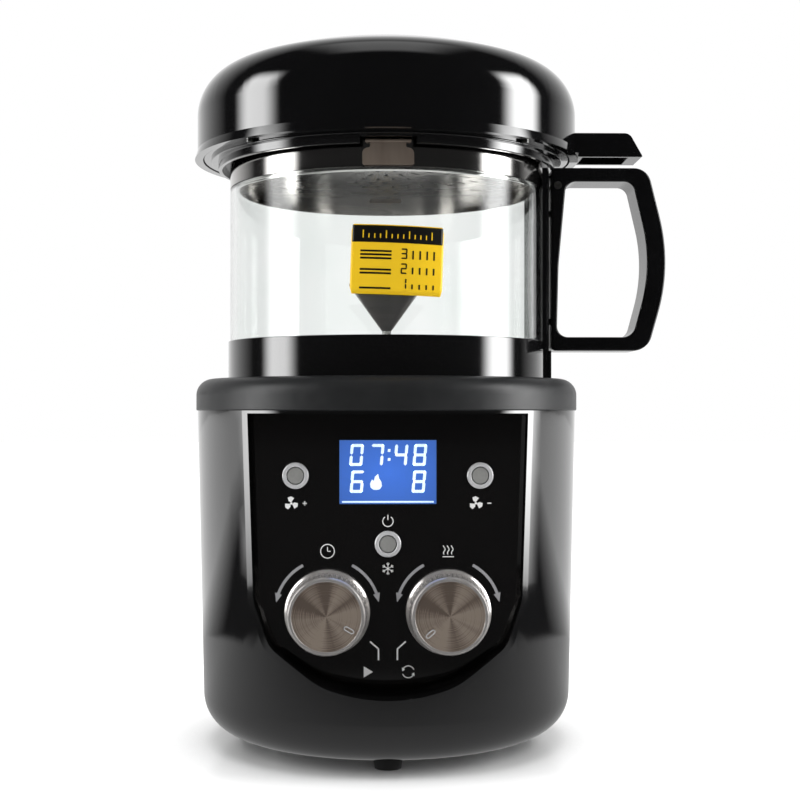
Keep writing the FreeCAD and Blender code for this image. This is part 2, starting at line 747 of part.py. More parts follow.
def motor_bracket():
    """Plate on four pillars that carries the motor below it and the blower above it."""
    plate = tube(BRACKET_R, 6.0, BRACKET_Z, BLOWER_LOW_Z)
    window = tube(33.0, MOTOR_R + 2, BRACKET_Z - 1, BLOWER_LOW_Z + 1)
    window = window.common(box(0, 40, 0, 40, BRACKET_Z - 1, BLOWER_LOW_Z + 1))
    spoke_half = 3.0
    window = window.common(box(spoke_half, 40, spoke_half, 40, BRACKET_Z - 1, BLOWER_LOW_Z + 1))
    board_side = box(-BRACKET_R, BRACKET_R, -BRACKET_R - 1, BOARD_Y + BOARD_THICK + 1,
                     BRACKET_Z - 1, BLOWER_LOW_Z + 1)
    return plate.cut(Part.makeCompound(around(window, 4) + [board_side]))


def pillar_places():
    return [on_circle(PILLAR_CIRCLE_R, 45 + 90 * i) for i in range(4)]


def blower_pillars():
    return [post(PILLAR_R, x, y, FLOOR_Z, BRACKET_Z) for x, y in pillar_places()]


def blower_housing():
    outlet_r = DUCT_R - DUCT_WALL - 1
    inner_r = BLOWER_R - BLOWER_WALL
    return turned([
        (BLOWER_R, BLOWER_LOW_Z),
        (BLOWER_R, BLOWER_TOP_Z, 4),
        (outlet_r, BLOWER_TOP_Z),
        (outlet_r, BLOWER_TOP_Z - BLOWER_WALL),
        (inner_r, BLOWER_TOP_Z - BLOWER_WALL, 4 - BLOWER_WALL),
        (inner_r, BLOWER_LOW_Z),
    ])


def fan_impeller():
    low = BLOWER_LOW_Z + 2
    back = low + FAN_BLADE_HEIGHT
    disc = tube(FAN_R, MOTOR_SHAFT_R, back, back + 1.5)
    hub = tube(FAN_HUB_R, MOTOR_SHAFT_R, low, back + 1.5)
    blade = box(22, FAN_R, -0.6, 0.6, low, back)
    blade.rotate(vector(22, 0, 0), UP, 28)
    blade = blade.common(post(FAN_R, 0, 0, low - 1, back + 1))
    return disc.fuse([hub] + around(blade, FAN_BLADES))


def heater_duct():
    inner = DUCT_R - DUCT_WALL
    top = BODY_TOP
    return turned([
        (inner, BLOWER_TOP_Z),
        (DUCT_R + 3, BLOWER_TOP_Z),
        (DUCT_R + 3, BLOWER_TOP_Z + 1),
        (DUCT_R, BLOWER_TOP_Z + 1),
        (DUCT_R, top - 1),
        (DUCT_R + 5, top - 1),
        (DUCT_R + 5, top),
        (inner, top),
    ])


def heater_element():
    """Sheathed tube bent into open turns one above the other, joined by short risers."""
    sweep = 300.0
    riser_inset = 8.0
    pieces = []
    for i in range(HEATER_TURNS):
        z = HEATER_LOW_Z + i * HEATER_PITCH
        circle = Part.makeCircle(HEATER_TUBE_R, vector(HEATER_RING_R, 0, z), vector(0, 1, 0))
        turn = Part.Face(Part.Wire(circle)).revolve(CENTRE, UP, sweep)
        pieces.append(turn)
        if i + 1 < HEATER_TURNS:
            x, y = on_circle(HEATER_RING_R, sweep - riser_inset if i % 2 == 0 else riser_inset)
            pieces.append(post(HEATER_TUBE_R * 0.8, x, y, z, z + HEATER_PITCH))
    return pieces[0].fuse(pieces[1:])


def heater_frame():
    """Two crossed mica plates inside the heater's turns, standing on the blower's top."""
    half = HEATER_RING_R - HEATER_TUBE_R - 0.1
    low = BLOWER_TOP_Z
    high = HEATER_LOW_Z + HEATER_TURNS * HEATER_PITCH - 4
    foot = DUCT_R - DUCT_WALL - 0.2
    one = box(-half, half, -MICA_THICK / 2, MICA_THICK / 2, low, high)
    feet = box(-foot, foot, -MICA_THICK / 2, MICA_THICK / 2, low, low + 6)
    plate = one.fuse(feet)
    other = plate.copy()
    other.rotate(CENTRE, UP, 90)
    return plate.fuse(other)


def thermostat():
    can = Part.makeCylinder(8, 6, vector(-DUCT_R - 6, 0, 126), vector(1, 0, 0))
    flange = box(-DUCT_R - 2, -DUCT_R + 0.4, -12, 12, 121, 131)
    terminals = [box(-DUCT_R - 12, -DUCT_R - 6, y - 3, y + 3, 125.6, 126.4) for y in (-4.5, 4.5)]
    body = can.fuse([flange] + terminals)
    return body.cut(post(DUCT_R, 0, 0, 100, 150))


def thermal_fuse():
    body = post(2.2, DUCT_R + 2.2, 0, 112, 128)
    leads = post(0.5, DUCT_R + 2.2, 0, 100, 140)
    clamp = box(DUCT_R - 0.5, DUCT_R + 5.5, -3.5, 3.5, 118, 122)
    return body.fuse([leads, clamp]).cut(post(DUCT_R, 0, 0, 90, 150))


def power_board():
    return upright([
        (-POWER_BOARD_HALF_X, POWER_BOARD_LOW_Y, 2),
        (POWER_BOARD_HALF_X, POWER_BOARD_LOW_Y, 2),
        (POWER_BOARD_HALF_X, POWER_BOARD_HIGH_Y, 2),
        (-POWER_BOARD_HALF_X, POWER_BOARD_HIGH_Y, 2),
    ], POWER_BOARD_Z, POWER_BOARD_Z + BOARD_THICK)


def power_board_posts():
    places = [(side * (POWER_BOARD_HALF_X - 5), POWER_BOARD_LOW_Y + offset)
              for side in (-1, 1) for offset in (5, 16)]
    posts = []
    for x, y in places:
        level = FLOOR_Z + (COVER_THICK if math.hypot(x, y) < COVER_R + COVER_LIP + 3 else 0)
        posts.append(post(2.5, x, y, level, POWER_BOARD_Z))
    return posts


def power_board_parts():
    top = POWER_BOARD_Z + BOARD_THICK
    relay = box(-24, -5, POWER_BOARD_LOW_Y + 4, POWER_BOARD_LOW_Y + 19, top, top + 15)
    filter_block = box(0, 14, POWER_BOARD_LOW_Y + 5, POWER_BOARD_LOW_Y + 11, top, top + 12)
    capacitor = post(5, 21, POWER_BOARD_LOW_Y + 15, top, top + 18)
    terminal = box(0, 12, POWER_BOARD_LOW_Y + 15, POWER_BOARD_LOW_Y + 22, top, top + 9)
    return [relay, filter_block, capacitor, terminal]


def cord_gland():
    """Bush in the rear wall; its bore passes the supply lead."""
    wall_out = wall_radius(GLAND_Z)
    gland = panel_rod(GLAND_R, 0, GLAND_Z, wall_out - 8, wall_out + GLAND_PROUD)
    flange = panel_rod(GLAND_FLANGE_R, 0, GLAND_Z, wall_out + 0.3, wall_out + 2.3)
    collar = panel_rod(GLAND_FLANGE_R, 0, GLAND_Z, wall_out - 8, wall_out - BODY_WALL - 0.6)
    bore = panel_rod(GLAND_BORE_R, 0, GLAND_Z, wall_out - 9, wall_out + GLAND_PROUD + 1)
    return gland.fuse([flange, collar]).cut(bore)


def lower_band():
    band = turned([
        (BAND_R, BAND_BOTTOM, 0.5),
        (BAND_R, BAND_TOP, 0.3),
        (BAND_R - BAND_LIP_WALL, BAND_TOP),
        (BAND_R - BAND_LIP_WALL, GLASS_SEAT_Z),
        (GLASS_IN_R - SHELF_WIDTH + 1.5, GLASS_SEAT_Z),
        (GLASS_IN_R - SHELF_WIDTH + 1.5, GLASS_SEAT_Z - SHELF_DEPTH),
        (BAND_IN_R, GLASS_SEAT_Z - SHELF_DEPTH),
        (BAND_IN_R, BAND_BOTTOM),
    ])
    half = KEY_WIDTH / 2
    key = box(BAND_R - BAND_LIP_WALL / 2, BAND_R + KEY_DEPTH, -half, half, KEY_LOW_Z, BAR_LOW_Z)
    grooves = [box(BAND_R + 1.2, BAND_R + 1.9, side * half - 0.8, side * half + 0.8, KEY_LOW_Z - 1, BAR_LOW_Z + 1)
               for side in (-1, 1)]
    return band.fuse(key).cut(Part.makeCompound(grooves))


def glass_gasket():
    return tube(BAND_R - BAND_LIP_WALL, GLASS_IN_R + 0.1, GLASS_SEAT_Z, GLASS_BOTTOM)


def glass_chamber():
    return turned([
        (GLASS_IN_R, GLASS_BOTTOM, 0.6),
        (GLASS_R, GLASS_BOTTOM, 0.6),
        (GLASS_R, GLASS_TOP, 0.9),
        (GLASS_IN_R, GLASS_TOP, 0.9),
    ])


def air_plate():
    radius = GLASS_IN_R - 0.2
    plate = turned([
        (STEM_R, GLASS_SEAT_Z),
        (radius, GLASS_SEAT_Z),
        (radius, GLASS_SEAT_Z + AIR_PLATE_THICK),
        (STEM_R, GLASS_SEAT_Z + AIR_PLATE_THICK),
    ])
    top = GLASS_SEAT_Z + AIR_PLATE_THICK
    slots = radial_slots(AIR_SLOT_RINGS, AIR_SLOT_LENGTH, AIR_SLOT_WIDTH, GLASS_SEAT_Z - 1, top + 1)
    return plate.cut(slots)


def deflector_cone():
    """Thin funnel, point down."""
    sheet = CONE_SHEET / math.cos(math.atan(CONE_SLOPE))
    return turned([
        (STEM_R, CONE_TIP_Z),
        (CONE_TIP_R, CONE_TIP_Z),
        (CONE_R, CONE_RIM_Z),
        (CONE_R - sheet, CONE_RIM_Z),
        (STEM_R, CONE_TIP_Z + (STEM_R + sheet - CONE_TIP_R) / CONE_SLOPE),
    ])


def deflector_cap():
    """Shallow cone that closes the funnel's top."""
    return turned([
        (STEM_R, CONE_CAP_Z),
        (CONE_R, CONE_RIM_Z + CONE_SHEET),
        (CONE_R, CONE_RIM_Z),
        (STEM_R, CONE_CAP_Z - CONE_SHEET),
    ])


def deflector_stem():
    low = GLASS_SEAT_Z - NUT_HEIGHT
    return post(STEM_R, 0, 0, low, CONE_CAP_Z + NUT_HEIGHT)


def hexagon_nut(z0, z1):
    points = [on_circle(NUT_R, 60 * i) for i in range(6)]
    return upright(points, z0, z1).cut(post(STEM_R, 0, 0, z0 - 1, z1 + 1))


def deflector_nuts():
    plate_top = GLASS_SEAT_Z + AIR_PLATE_THICK
    return [
        hexagon_nut(GLASS_SEAT_Z - NUT_HEIGHT, GLASS_SEAT_Z),
        hexagon_nut(plate_top, plate_top + NUT_HEIGHT),
        hexagon_nut(CONE_CAP_Z, CONE_CAP_Z + NUT_HEIGHT),
    ]


def screw_levels():
    return (HANDLE_BOTTOM + 14, HANDLE_TOP - 20)


def frame_bar():
    """Upright plate curved round the glass; the handle is screwed to it."""
    plate = tube(BAR_OUT_R, BAR_IN_R, BAR_LOW_Z, BAR_TOP)
    plate = plate.common(box(40, BAR_OUT_R + 1, -BAR_HALF_WIDTH, BAR_HALF_WIDTH, BAR_LOW_Z - 1, BAR_TOP + 1))
    cutters = []
    for z in screw_levels():
        cutters.append(rod(SCREW_R, vector(BAR_IN_R - 2, 0, z), vector(BAR_OUT_R + 2, 0, z)))
        cutters.append(rod(SCREW_HEAD_R, vector(BAR_IN_R - 2, 0, z), vector(BAR_IN_R + 1.2, 0, z)))
    return plate.cut(Part.makeCompound(cutters))


def handle():
    """D-shaped grip: outer outline less a finger opening, with rounded long edges."""
    outer = across([
        (HANDLE_X, HANDLE_TOP, 2),
        (HANDLE_CORNER_X, HANDLE_TOP, 8),
        (HANDLE_REACH, HANDLE_MID_Z, 85),
        (HANDLE_CORNER_X, HANDLE_BOTTOM, 9),
        (HANDLE_X, HANDLE_BOTTOM, 2),
    ], -HANDLE_HALF_WIDTH, HANDLE_HALF_WIDTH)
    high = HANDLE_TOP - HANDLE_BAR
    low = HANDLE_BOTTOM + HANDLE_BAR
    corner = HANDLE_CORNER_X - HANDLE_GRIP + 2.2
    finger = across([
        (HANDLE_X + HANDLE_LEG, high, 5),
        (corner, high, 5),
        (HANDLE_REACH - HANDLE_GRIP, HANDLE_MID_Z, 75),
        (corner, low, 6),
        (HANDLE_X + HANDLE_LEG_LOW, low, 5),
        (HANDLE_X + HANDLE_LEG_MID, HANDLE_MID_Z, 90),
    ], -HANDLE_HALF_WIDTH - 1, HANDLE_HALF_WIDTH + 1)
    grip = outer.cut(finger)
    faces = [face for face in grip.Faces if abs(abs(face.CenterOfMass.y) - HANDLE_HALF_WIDTH) < 1e-4]
    edges = [edge for face in faces for edge in face.Edges]
    grip = grip.makeFillet(HANDLE_EDGE_R, edges)
    nub = across([
        (NUB_X - NUB_LENGTH / 2 - 0.8, HANDLE_TOP - 0.5),
        (NUB_X + NUB_LENGTH / 2 + 0.8, HANDLE_TOP - 0.5),
        (NUB_X + NUB_LENGTH / 2, HANDLE_TOP + NUB_HEIGHT),
        (NUB_X - NUB_LENGTH / 2, HANDLE_TOP + NUB_HEIGHT),
    ], -4, 4)
    boss = panel_rod(PIN_R + 1.4, PIN_X, PIN_Z, -HANDLE_HALF_WIDTH + 1.2, HANDLE_HALF_WIDTH - 1.2)
    grip = grip.fuse([nub, boss])
    cutters = [panel_rod(PIN_R, PIN_X, PIN_Z, -HANDLE_HALF_WIDTH - 1, HANDLE_HALF_WIDTH + 1)]
    for z in screw_levels():
        cutters.append(rod(SCREW_R, vector(BAR_OUT_R - 1, 0, z), vector(HANDLE_X + 2, 0, z)))
    return grip.cut(Part.makeCompound(cutters))


PIN_X = HANDLE_X + PIN_R + 1.2


def handle_pin():
    pin = panel_rod(PIN_R, PIN_X, PIN_Z, -HANDLE_HALF_WIDTH - 0.3, HANDLE_HALF_WIDTH + 0.3)
    slot = box(PIN_X - 1.3, PIN_X + 1.3, -HANDLE_HALF_WIDTH - 1, -HANDLE_HALF_WIDTH + 0.4, PIN_Z - 0.3, PIN_Z + 0.3)
    return pin.cut(slot)


def handle_screws():
    screws = []
    for z in screw_levels():
        head = rod(SCREW_HEAD_R, vector(BAR_IN_R + 0.1, 0, z), vector(BAR_IN_R + 1.2, 0, z))
        shank = rod(SCREW_R, vector(BAR_IN_R + 1.2, 0, z), vector(HANDLE_X + 2, 0, z))
        screws.append(head.fuse(shank))
    return screws


def filter_sleeve():
    """Stainless ring on the glass; a short spigot centres it inside the glass."""
    spigot_r = GLASS_IN_R - SPIGOT_CLEAR
    ring = turned([
        (GLASS_R, GLASS_TOP),
        (GLASS_R, SLEEVE_TOP),
        (GLASS_R - SLEEVE_SHEET, SLEEVE_TOP),
        (GLASS_R - SLEEVE_SHEET, GLASS_TOP + SLEEVE_SHEET),
        (spigot_r - SLEEVE_SHEET, GLASS_TOP + SLEEVE_SHEET),
        (spigot_r - SLEEVE_SHEET, GLASS_TOP - SPIGOT_DEPTH),
        (spigot_r, GLASS_TOP - SPIGOT_DEPTH),
        (spigot_r, GLASS_TOP),
    ])
    half = CLIP_SLOT_WIDTH / 2
    slots = [box(-half, half, side * GLASS_R - 6, side * GLASS_R + 6, CLIP_SLOT_Z, CLIP_SLOT_Z + CLIP_SLOT_HEIGHT)
             for side in (-1, 1)]
    return ring.cut(Part.makeCompound(slots))


def filter_plate():
    radius = GLASS_R - SLEEVE_SHEET
    plate = post(radius, 0, 0, FILTER_PLATE_Z, FILTER_PLATE_Z + SLEEVE_SHEET)
    top = FILTER_PLATE_Z + SLEEVE_SHEET
    slots = radial_slots(FILTER_SLOT_RINGS, FILTER_SLOT_LENGTH, FILTER_SLOT_WIDTH, FILTER_PLATE_Z - 1, top + 1)
    return plate.cut(slots)


def chaff_cup():
    low = FILTER_PLATE_Z + SLEEVE_SHEET
    high = low + CHAFF_HEIGHT
    return turned([
        (CHAFF_R, low),
        (CHAFF_R + 3, low),
        (CHAFF_R + 3, low + SLEEVE_SHEET),
        (CHAFF_R + SLEEVE_SHEET, low + SLEEVE_SHEET),
        (CHAFF_R + SLEEVE_SHEET, high),
        (CHAFF_R, high),
    ])


def chaff_screen():
    low = FILTER_PLATE_Z + SLEEVE_SHEET + CHAFF_HEIGHT
    high = low + SLEEVE_SHEET
    disc = post(CHAFF_R + 1.5, 0, 0, low, high)
    return disc.cut(radial_slots(FILTER_SLOT_RINGS[:4], FILTER_SLOT_LENGTH, FILTER_SLOT_WIDTH, low - 1, high + 1))


def dome_points(shrink):
    """Wall top, shoulder middle, shoulder end and crown of the dome, drawn in by shrink."""
    radius = LID_R - shrink
    shoulder = LID_SHOULDER_R - shrink
    crown = LID_CROWN_R - shrink
    crown_z = LID_TOP - LID_CROWN_R
    corner_r = LID_R - LID_SHOULDER_R
    corner_z = crown_z + math.sqrt((LID_CROWN_R - LID_SHOULDER_R) ** 2 - corner_r ** 2)
    join = math.atan2(corner_z - crown_z, corner_r)
    half = join / 2
    rest = (join + math.pi / 2) / 2
    return [
        (radius, corner_z),
        (corner_r + shoulder * math.cos(half), corner_z + shoulder * math.sin(half)),
        (corner_r + shoulder * math.cos(join), corner_z + shoulder * math.sin(join)),
        (crown * math.cos(rest), crown_z + crown * math.sin(rest)),
        (0, crown_z + crown),
    ]


def lid_dome():
    outer = [vector(r, 0, z) for r, z in dome_points(0)]
    inner = [vector(r, 0, z) for r, z in dome_points(LID_WALL)]
    rim_out = vector(LID_RIM_R, 0, LID_RIM_Z)
    crease = vector(LID_R, 0, LID_CREASE_Z)
    rim_in = vector(DECK_OUT_R + 0.3, 0, LID_RIM_Z)
    wall_in = vector(LID_R - LID_WALL, 0, LID_CREASE_Z)
    corners = [
        Part.LineSegment(rim_in, rim_out),
        Part.LineSegment(rim_out, crease),
        Part.LineSegment(crease, outer[0]),
        Part.Arc(outer[0], outer[1], outer[2]),
        Part.Arc(outer[2], outer[3], outer[4]),
        Part.LineSegment(outer[4], inner[4]),
        Part.Arc(inner[4], inner[3], inner[2]),
        Part.Arc(inner[2], inner[1], inner[0]),
        Part.LineSegment(inner[0], wall_in),
        Part.LineSegment(wall_in, rim_in),
    ]
    face = Part.Face(Part.Wire([corner.toShape() for corner in corners]))
    dome = face.revolve(CENTRE, UP, 360)
    vent = box(LID_R - LID_WALL - 3, LID_R + 2, -VENT_WIDTH / 2, VENT_WIDTH / 2, VENT_Z, VENT_Z + VENT_HEIGHT)
    first = 90 - VENT_STEP_DEG * (VENT_COUNT - 1) / 2
    return dome.cut(Part.makeCompound(around(vent, VENT_COUNT, first, VENT_STEP_DEG)))


def lid_deck():
    """Stepped ring that closes the dome from below, with a skirt round the filter sleeve."""
    top = DECK_UNDER_Z + LID_DECK_THICK
    deck = turned([
        (DECK_OUT_R, top),
        (DECK_OUT_R, DECK_UNDER_Z, 0.5),
        (DECK_STEP_R, DECK_UNDER_Z),
        (DECK_STEP_R, DECK_STEP_Z, 0.4),
        (SKIRT_R + SKIRT_WALL, DECK_STEP_Z),
        (SKIRT_R + SKIRT_WALL - 0.4, SKIRT_LOW_Z, 0.4),
        (SKIRT_R, SKIRT_LOW_Z),
        (SKIRT_R, SLEEVE_TOP + 0.4),
        (CHAFF_R + 6, SLEEVE_TOP + 0.4),
        (CHAFF_R + 6, top),
    ])
    gap = CLIP_GAP
    half = CLIP_PIN_LENGTH / 2 + 1
    wide = CLIP_WIDTH / 2 + 1
    cutters = []
    for side in (-1, 1):
        y = side * CLIP_Y
        cutters.append(box(-wide, wide, min(y - 3 * side, y + 6 * side), max(y - 3 * side, y + 6 * side),
                           SKIRT_LOW_Z - 1, CLIP_TOP_Z + CLIP_PIN_R + gap))
        cutters.append(rod(CLIP_PIN_R + SHAFT_CLEAR, vector(-half - 1, y, CLIP_PIN_Z),
                           vector(half + 1, y, CLIP_PIN_Z)))
    notch = HANDLE_HALF_WIDTH + 1
    cutters.append(box(SKIRT_R - 3, SKIRT_R + SKIRT_WALL + 1, -notch, notch, SKIRT_LOW_Z - 1, DECK_STEP_Z))
    return deck.cut(Part.makeCompound(cutters))


CLIP_Y = GLASS_R + CLIP_GAP + CLIP_SHEET / 2
CLIP_PIN_Z = CLIP_TOP_Z


def spring_clip(side):
    """Sheet clip with a narrow neck and a rolled top that turns in the lid's skirt."""
    inner = side * (GLASS_R + CLIP_GAP)
    outer = side * (GLASS_R + CLIP_GAP + CLIP_SHEET)
    half = CLIP_WIDTH / 2
    neck = CLIP_NECK / 2
    sheet = across([
        (-half, CLIP_LOW_Z, 1),
        (half, CLIP_LOW_Z, 1),
        (half, CLIP_BODY_Z, 2.5),
        (neck, CLIP_BODY_Z, 0.8),
        (neck, CLIP_PIN_Z),
        (-neck, CLIP_PIN_Z),
        (-neck, CLIP_BODY_Z, 0.8),
        (-half, CLIP_BODY_Z, 2.5),
    ], min(inner, outer), max(inner, outer))
    roll = rod(CLIP_PIN_R, vector(-CLIP_PIN_LENGTH / 2, side * CLIP_Y, CLIP_PIN_Z),
               vector(CLIP_PIN_LENGTH / 2, side * CLIP_Y, CLIP_PIN_Z))
    return sheet.fuse(roll)


def lid_tab():
    """Hollow grip on the lid, open below, with two ribs inside."""
    inner_x = LID_R - 1.0
    outline = [
        (inner_x, TAB_LOW_Z),
        (TAB_REACH, TAB_LOW_Z, 0.4),
        (TAB_TOP_REACH, TAB_TOP_Z, TAB_ROUND_R),
        (inner_x, TAB_TOP_Z),
    ]
    tab = across(outline, -TAB_HALF_WIDTH, TAB_HALF_WIDTH)
    hollow = across([
        (inner_x + TAB_WALL + 2, TAB_LOW_Z - 1),
        (TAB_REACH - TAB_WALL - 4, TAB_LOW_Z - 1),
        (TAB_TOP_REACH - TAB_WALL - 2, TAB_TOP_Z - TAB_WALL),
        (inner_x + TAB_WALL + 5, TAB_TOP_Z - TAB_WALL),
        (inner_x + TAB_WALL + 2, TAB_TOP_Z - TAB_WALL - 4),
    ], -TAB_HALF_WIDTH + TAB_WALL, TAB_HALF_WIDTH - TAB_WALL)
    ribs = [box(x - 0.6, x + 0.6, -TAB_HALF_WIDTH + 1, TAB_HALF_WIDTH - 1, TAB_LOW_Z + 4, TAB_TOP_Z - 1)
            for x in (LID_R + 9, LID_R + 15)]
    tab = tab.cut(hollow).fuse(ribs)
    rim = post(LID_RIM_R + PANEL_GAP, 0, 0, TAB_LOW_Z - 2, LID_CREASE_Z)
    return tab.cut([rim, post(LID_R, 0, 0, TAB_LOW_Z - 2, TAB_TOP_Z + 2)])


def lid_screws():
    """Screws up through the deck into posts inside the dome."""
    screws = []
    for i in range(4):
        x, y = on_circle((DECK_STEP_R + DECK_OUT_R) / 2, 45 + 90 * i)
        head = post(1.6, x, y, DECK_UNDER_Z - 1.2, DECK_UNDER_Z)
        screws.append(head)
    return screws


def make_parts():
    os.makedirs("parts", exist_ok=True)
    save("base_housing", base_housing())
    save("bottom_cover", bottom_cover())
    save("base_screws", bottom_screws() + board_screws())
    save("rubber_feet", rubber_feet())
    save("control_panel", control_panel())
    save("lcd_window", lcd_window())
    save("lcd_module", lcd_module())
    save("display_board", display_board())
    save("board_posts", board_standoffs() + power_board_posts())
    for name, x, z in BUTTONS:
        save(name, button_cap(x, z))
    save("button_bezels", button_bezels())
    save("button_switches", button_switches())
    for name, x in KNOBS:
        save(name + "_knob", knob_body(x))
        save(name + "_knob_face", knob_face(x))
        save(name + "_shaft", knob_shaft(x))
        save(name + "_rotor", encoder_rotor(x))
    save("encoder_bodies", encoder_bodies())
    save("shoulder_ring", shoulder_ring())
    save("top_deck", top_deck())
    save("chamber_socket", chamber_socket())
    save("seat_gasket", seat_gasket())
    save("motor_body", motor_body())
    save("motor_bearing", motor_bearing())
    save("motor_shaft", motor_shaft())
    save("motor_bracket", motor_bracket())
    save("blower_pillars", blower_pillars())
    save("blower_housing", blower_housing())
    save("fan_impeller", fan_impeller())
    save("heater_duct", heater_duct())
    save("heater_element", heater_element())
    save("heater_frame", heater_frame())
    save("thermal_cutouts", [thermostat(), thermal_fuse()])
    save("power_board", [power_board()] + power_board_parts())
    save("cord_gland", cord_gland())
    save("lower_band", lower_band())
    save("glass_gasket", glass_gasket())
    save("glass_chamber", glass_chamber())
    save("air_plate", air_plate())
    save("deflector_cone", deflector_cone())
    save("deflector_cap", deflector_cap())
    save("deflector_bolt", [deflector_stem()] + deflector_nuts())
    save("frame_bar", frame_bar())
    save("handle", handle())
    save("handle_screws", handle_screws() + [handle_pin()])
    save("filter_sleeve", filter_sleeve())
    save("filter_plate", filter_plate())
    save("chaff_cup", chaff_cup())
    save("chaff_screen", chaff_screen())
    save("lid_dome", lid_dome())
    save("lid_deck", lid_deck())
    save("lid_tab", lid_tab())
    save("front_clip", spring_clip(-1))
    save("rear_clip", spring_clip(1))
    save("lid_screws", lid_screws())


make_parts()
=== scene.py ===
import math
import bpy
import numpy as np
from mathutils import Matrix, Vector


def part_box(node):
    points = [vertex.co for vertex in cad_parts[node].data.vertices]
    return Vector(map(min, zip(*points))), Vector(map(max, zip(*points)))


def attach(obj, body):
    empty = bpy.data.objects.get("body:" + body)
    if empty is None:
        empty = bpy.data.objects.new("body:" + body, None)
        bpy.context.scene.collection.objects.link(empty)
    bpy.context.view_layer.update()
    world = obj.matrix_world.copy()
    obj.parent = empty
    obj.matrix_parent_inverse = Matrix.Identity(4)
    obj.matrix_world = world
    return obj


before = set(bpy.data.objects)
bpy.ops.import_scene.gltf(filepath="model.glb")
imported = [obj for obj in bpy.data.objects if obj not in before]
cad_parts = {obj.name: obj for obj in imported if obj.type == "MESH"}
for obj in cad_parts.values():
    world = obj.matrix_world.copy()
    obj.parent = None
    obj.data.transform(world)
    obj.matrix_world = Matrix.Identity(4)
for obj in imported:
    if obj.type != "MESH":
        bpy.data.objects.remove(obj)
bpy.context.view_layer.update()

# Real sizes, in millimetres
MM = 0.001
PANEL_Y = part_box("control_panel")[0].y / MM
KNOB_Z = (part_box("time_knob")[0].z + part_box("time_knob")[1].z) / 2 / MM
KNOB_X = (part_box("heat_knob")[0].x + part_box("heat_knob")[1].x) / 2 / MM
KNOB_FACE_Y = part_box("time_knob_face")[0].y / MM
GLASS_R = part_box("glass_chamber")[1].y / MM
LCD_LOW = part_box("lcd_window")[0]
LCD_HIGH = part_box("lcd_window")[1]
INK_LIFT = 0.05
INK_THICK = 0.04


def srgb(text):
    """Linear colour of an sRGB hex value."""
    parts = [int(text[i:i + 2], 16) / 255 for i in (1, 3, 5)]
    linear = [p / 12.92 if p <= 0.04045 else ((p + 0.055) / 1.055) ** 2.4 for p in parts]
    return (*linear, 1.0)


def add(tree, kind, inputs=None, **options):
    """Add one shader node: options are its properties, inputs are values or sockets to link."""
    node = tree.nodes.new("ShaderNode" + kind)
    for name, value in options.items():
        setattr(node, name, value)
    for name, value in (inputs or {}).items():
        if isinstance(value, bpy.types.NodeSocket):
            tree.links.new(value, node.inputs[name])
        else:
            node.inputs[name].default_value = value
    return node


def blank(name):
    """An empty material of this name, and its node tree."""
    material = bpy.data.materials.new(name)
    material.use_nodes = True
    material.node_tree.nodes.clear()
    return material, material.node_tree


def close(tree, shader):
    add(tree, "OutputMaterial", {"Surface": shader.outputs[0]})


def object_noise(tree, cell_mm, stretch=(1, 1, 1), detail=2.0):
    """Noise on Object coordinates whose cells are cell_mm across, drawn out by stretch."""
    place = add(tree, "TexCoord")
    scale = tuple(1 / (cell_mm * MM * s) for s in stretch)
    mapping = add(tree, "Mapping", {"Vector": place.outputs["Object"], "Scale": scale})
    return add(tree, "TexNoise", {"Vector": mapping.outputs[0], "Scale": 1.0, "Detail": detail})


def mix_colours(tree, factor, low, high):
    node = add(tree, "Mix", data_type="RGBA")
    tree.links.new(factor, node.inputs[0])
    node.inputs[6].default_value = srgb(low)
    node.inputs[7].default_value = srgb(high)
    return node.outputs[2]


def finish_of(name, low, high, roughness, patch_mm, grain_mm, bump_mm, stretch=(1, 1, 1), **shader):
    """Principled material: colour and roughness wander over patches, fine grain gives the bump."""
    material, tree = blank(name)
    patches = object_noise(tree, patch_mm, stretch)
    grain = object_noise(tree, grain_mm, stretch, 3.0)
    rough = add(tree, "MapRange", {"Value": patches.outputs[0],
                                   "To Min": roughness[0], "To Max": roughness[1]})
    inputs = {
        "Base Color": mix_colours(tree, patches.outputs[0], low, high),
        "Roughness": rough.outputs[0],
    }
    if bump_mm:
        bump = add(tree, "Bump", {"Height": grain.outputs[0], "Distance": bump_mm * MM, "Strength": 1.0})
        inputs["Normal"] = bump.outputs[0]
    inputs.update({key.replace("_", " "): value for key, value in shader.items()})
    close(tree, add(tree, "BsdfPrincipled", inputs))
    return material


def piano_black(name, low="#060607", high="#0B0B0C", roughness=(0.05, 0.09)):
    # Gloss ABS, moulded in a polished tool: mirror-like, with a slow ripple and faint haze.
    return finish_of(name, low, high, roughness, 18, 9, 0.01, IOR=1.9,
                     Coat_Weight=0.6, Coat_Roughness=0.03, Coat_IOR=1.6)


def brushed_metal(name, low, high, roughness, stretch, bump_mm=0.012):
    # Stainless sheet brushed one way: fine drawn-out lines, soft streaked highlights.
    return finish_of(name, low, high, roughness, 5, 0.7, bump_mm, stretch, Metallic=1.0)


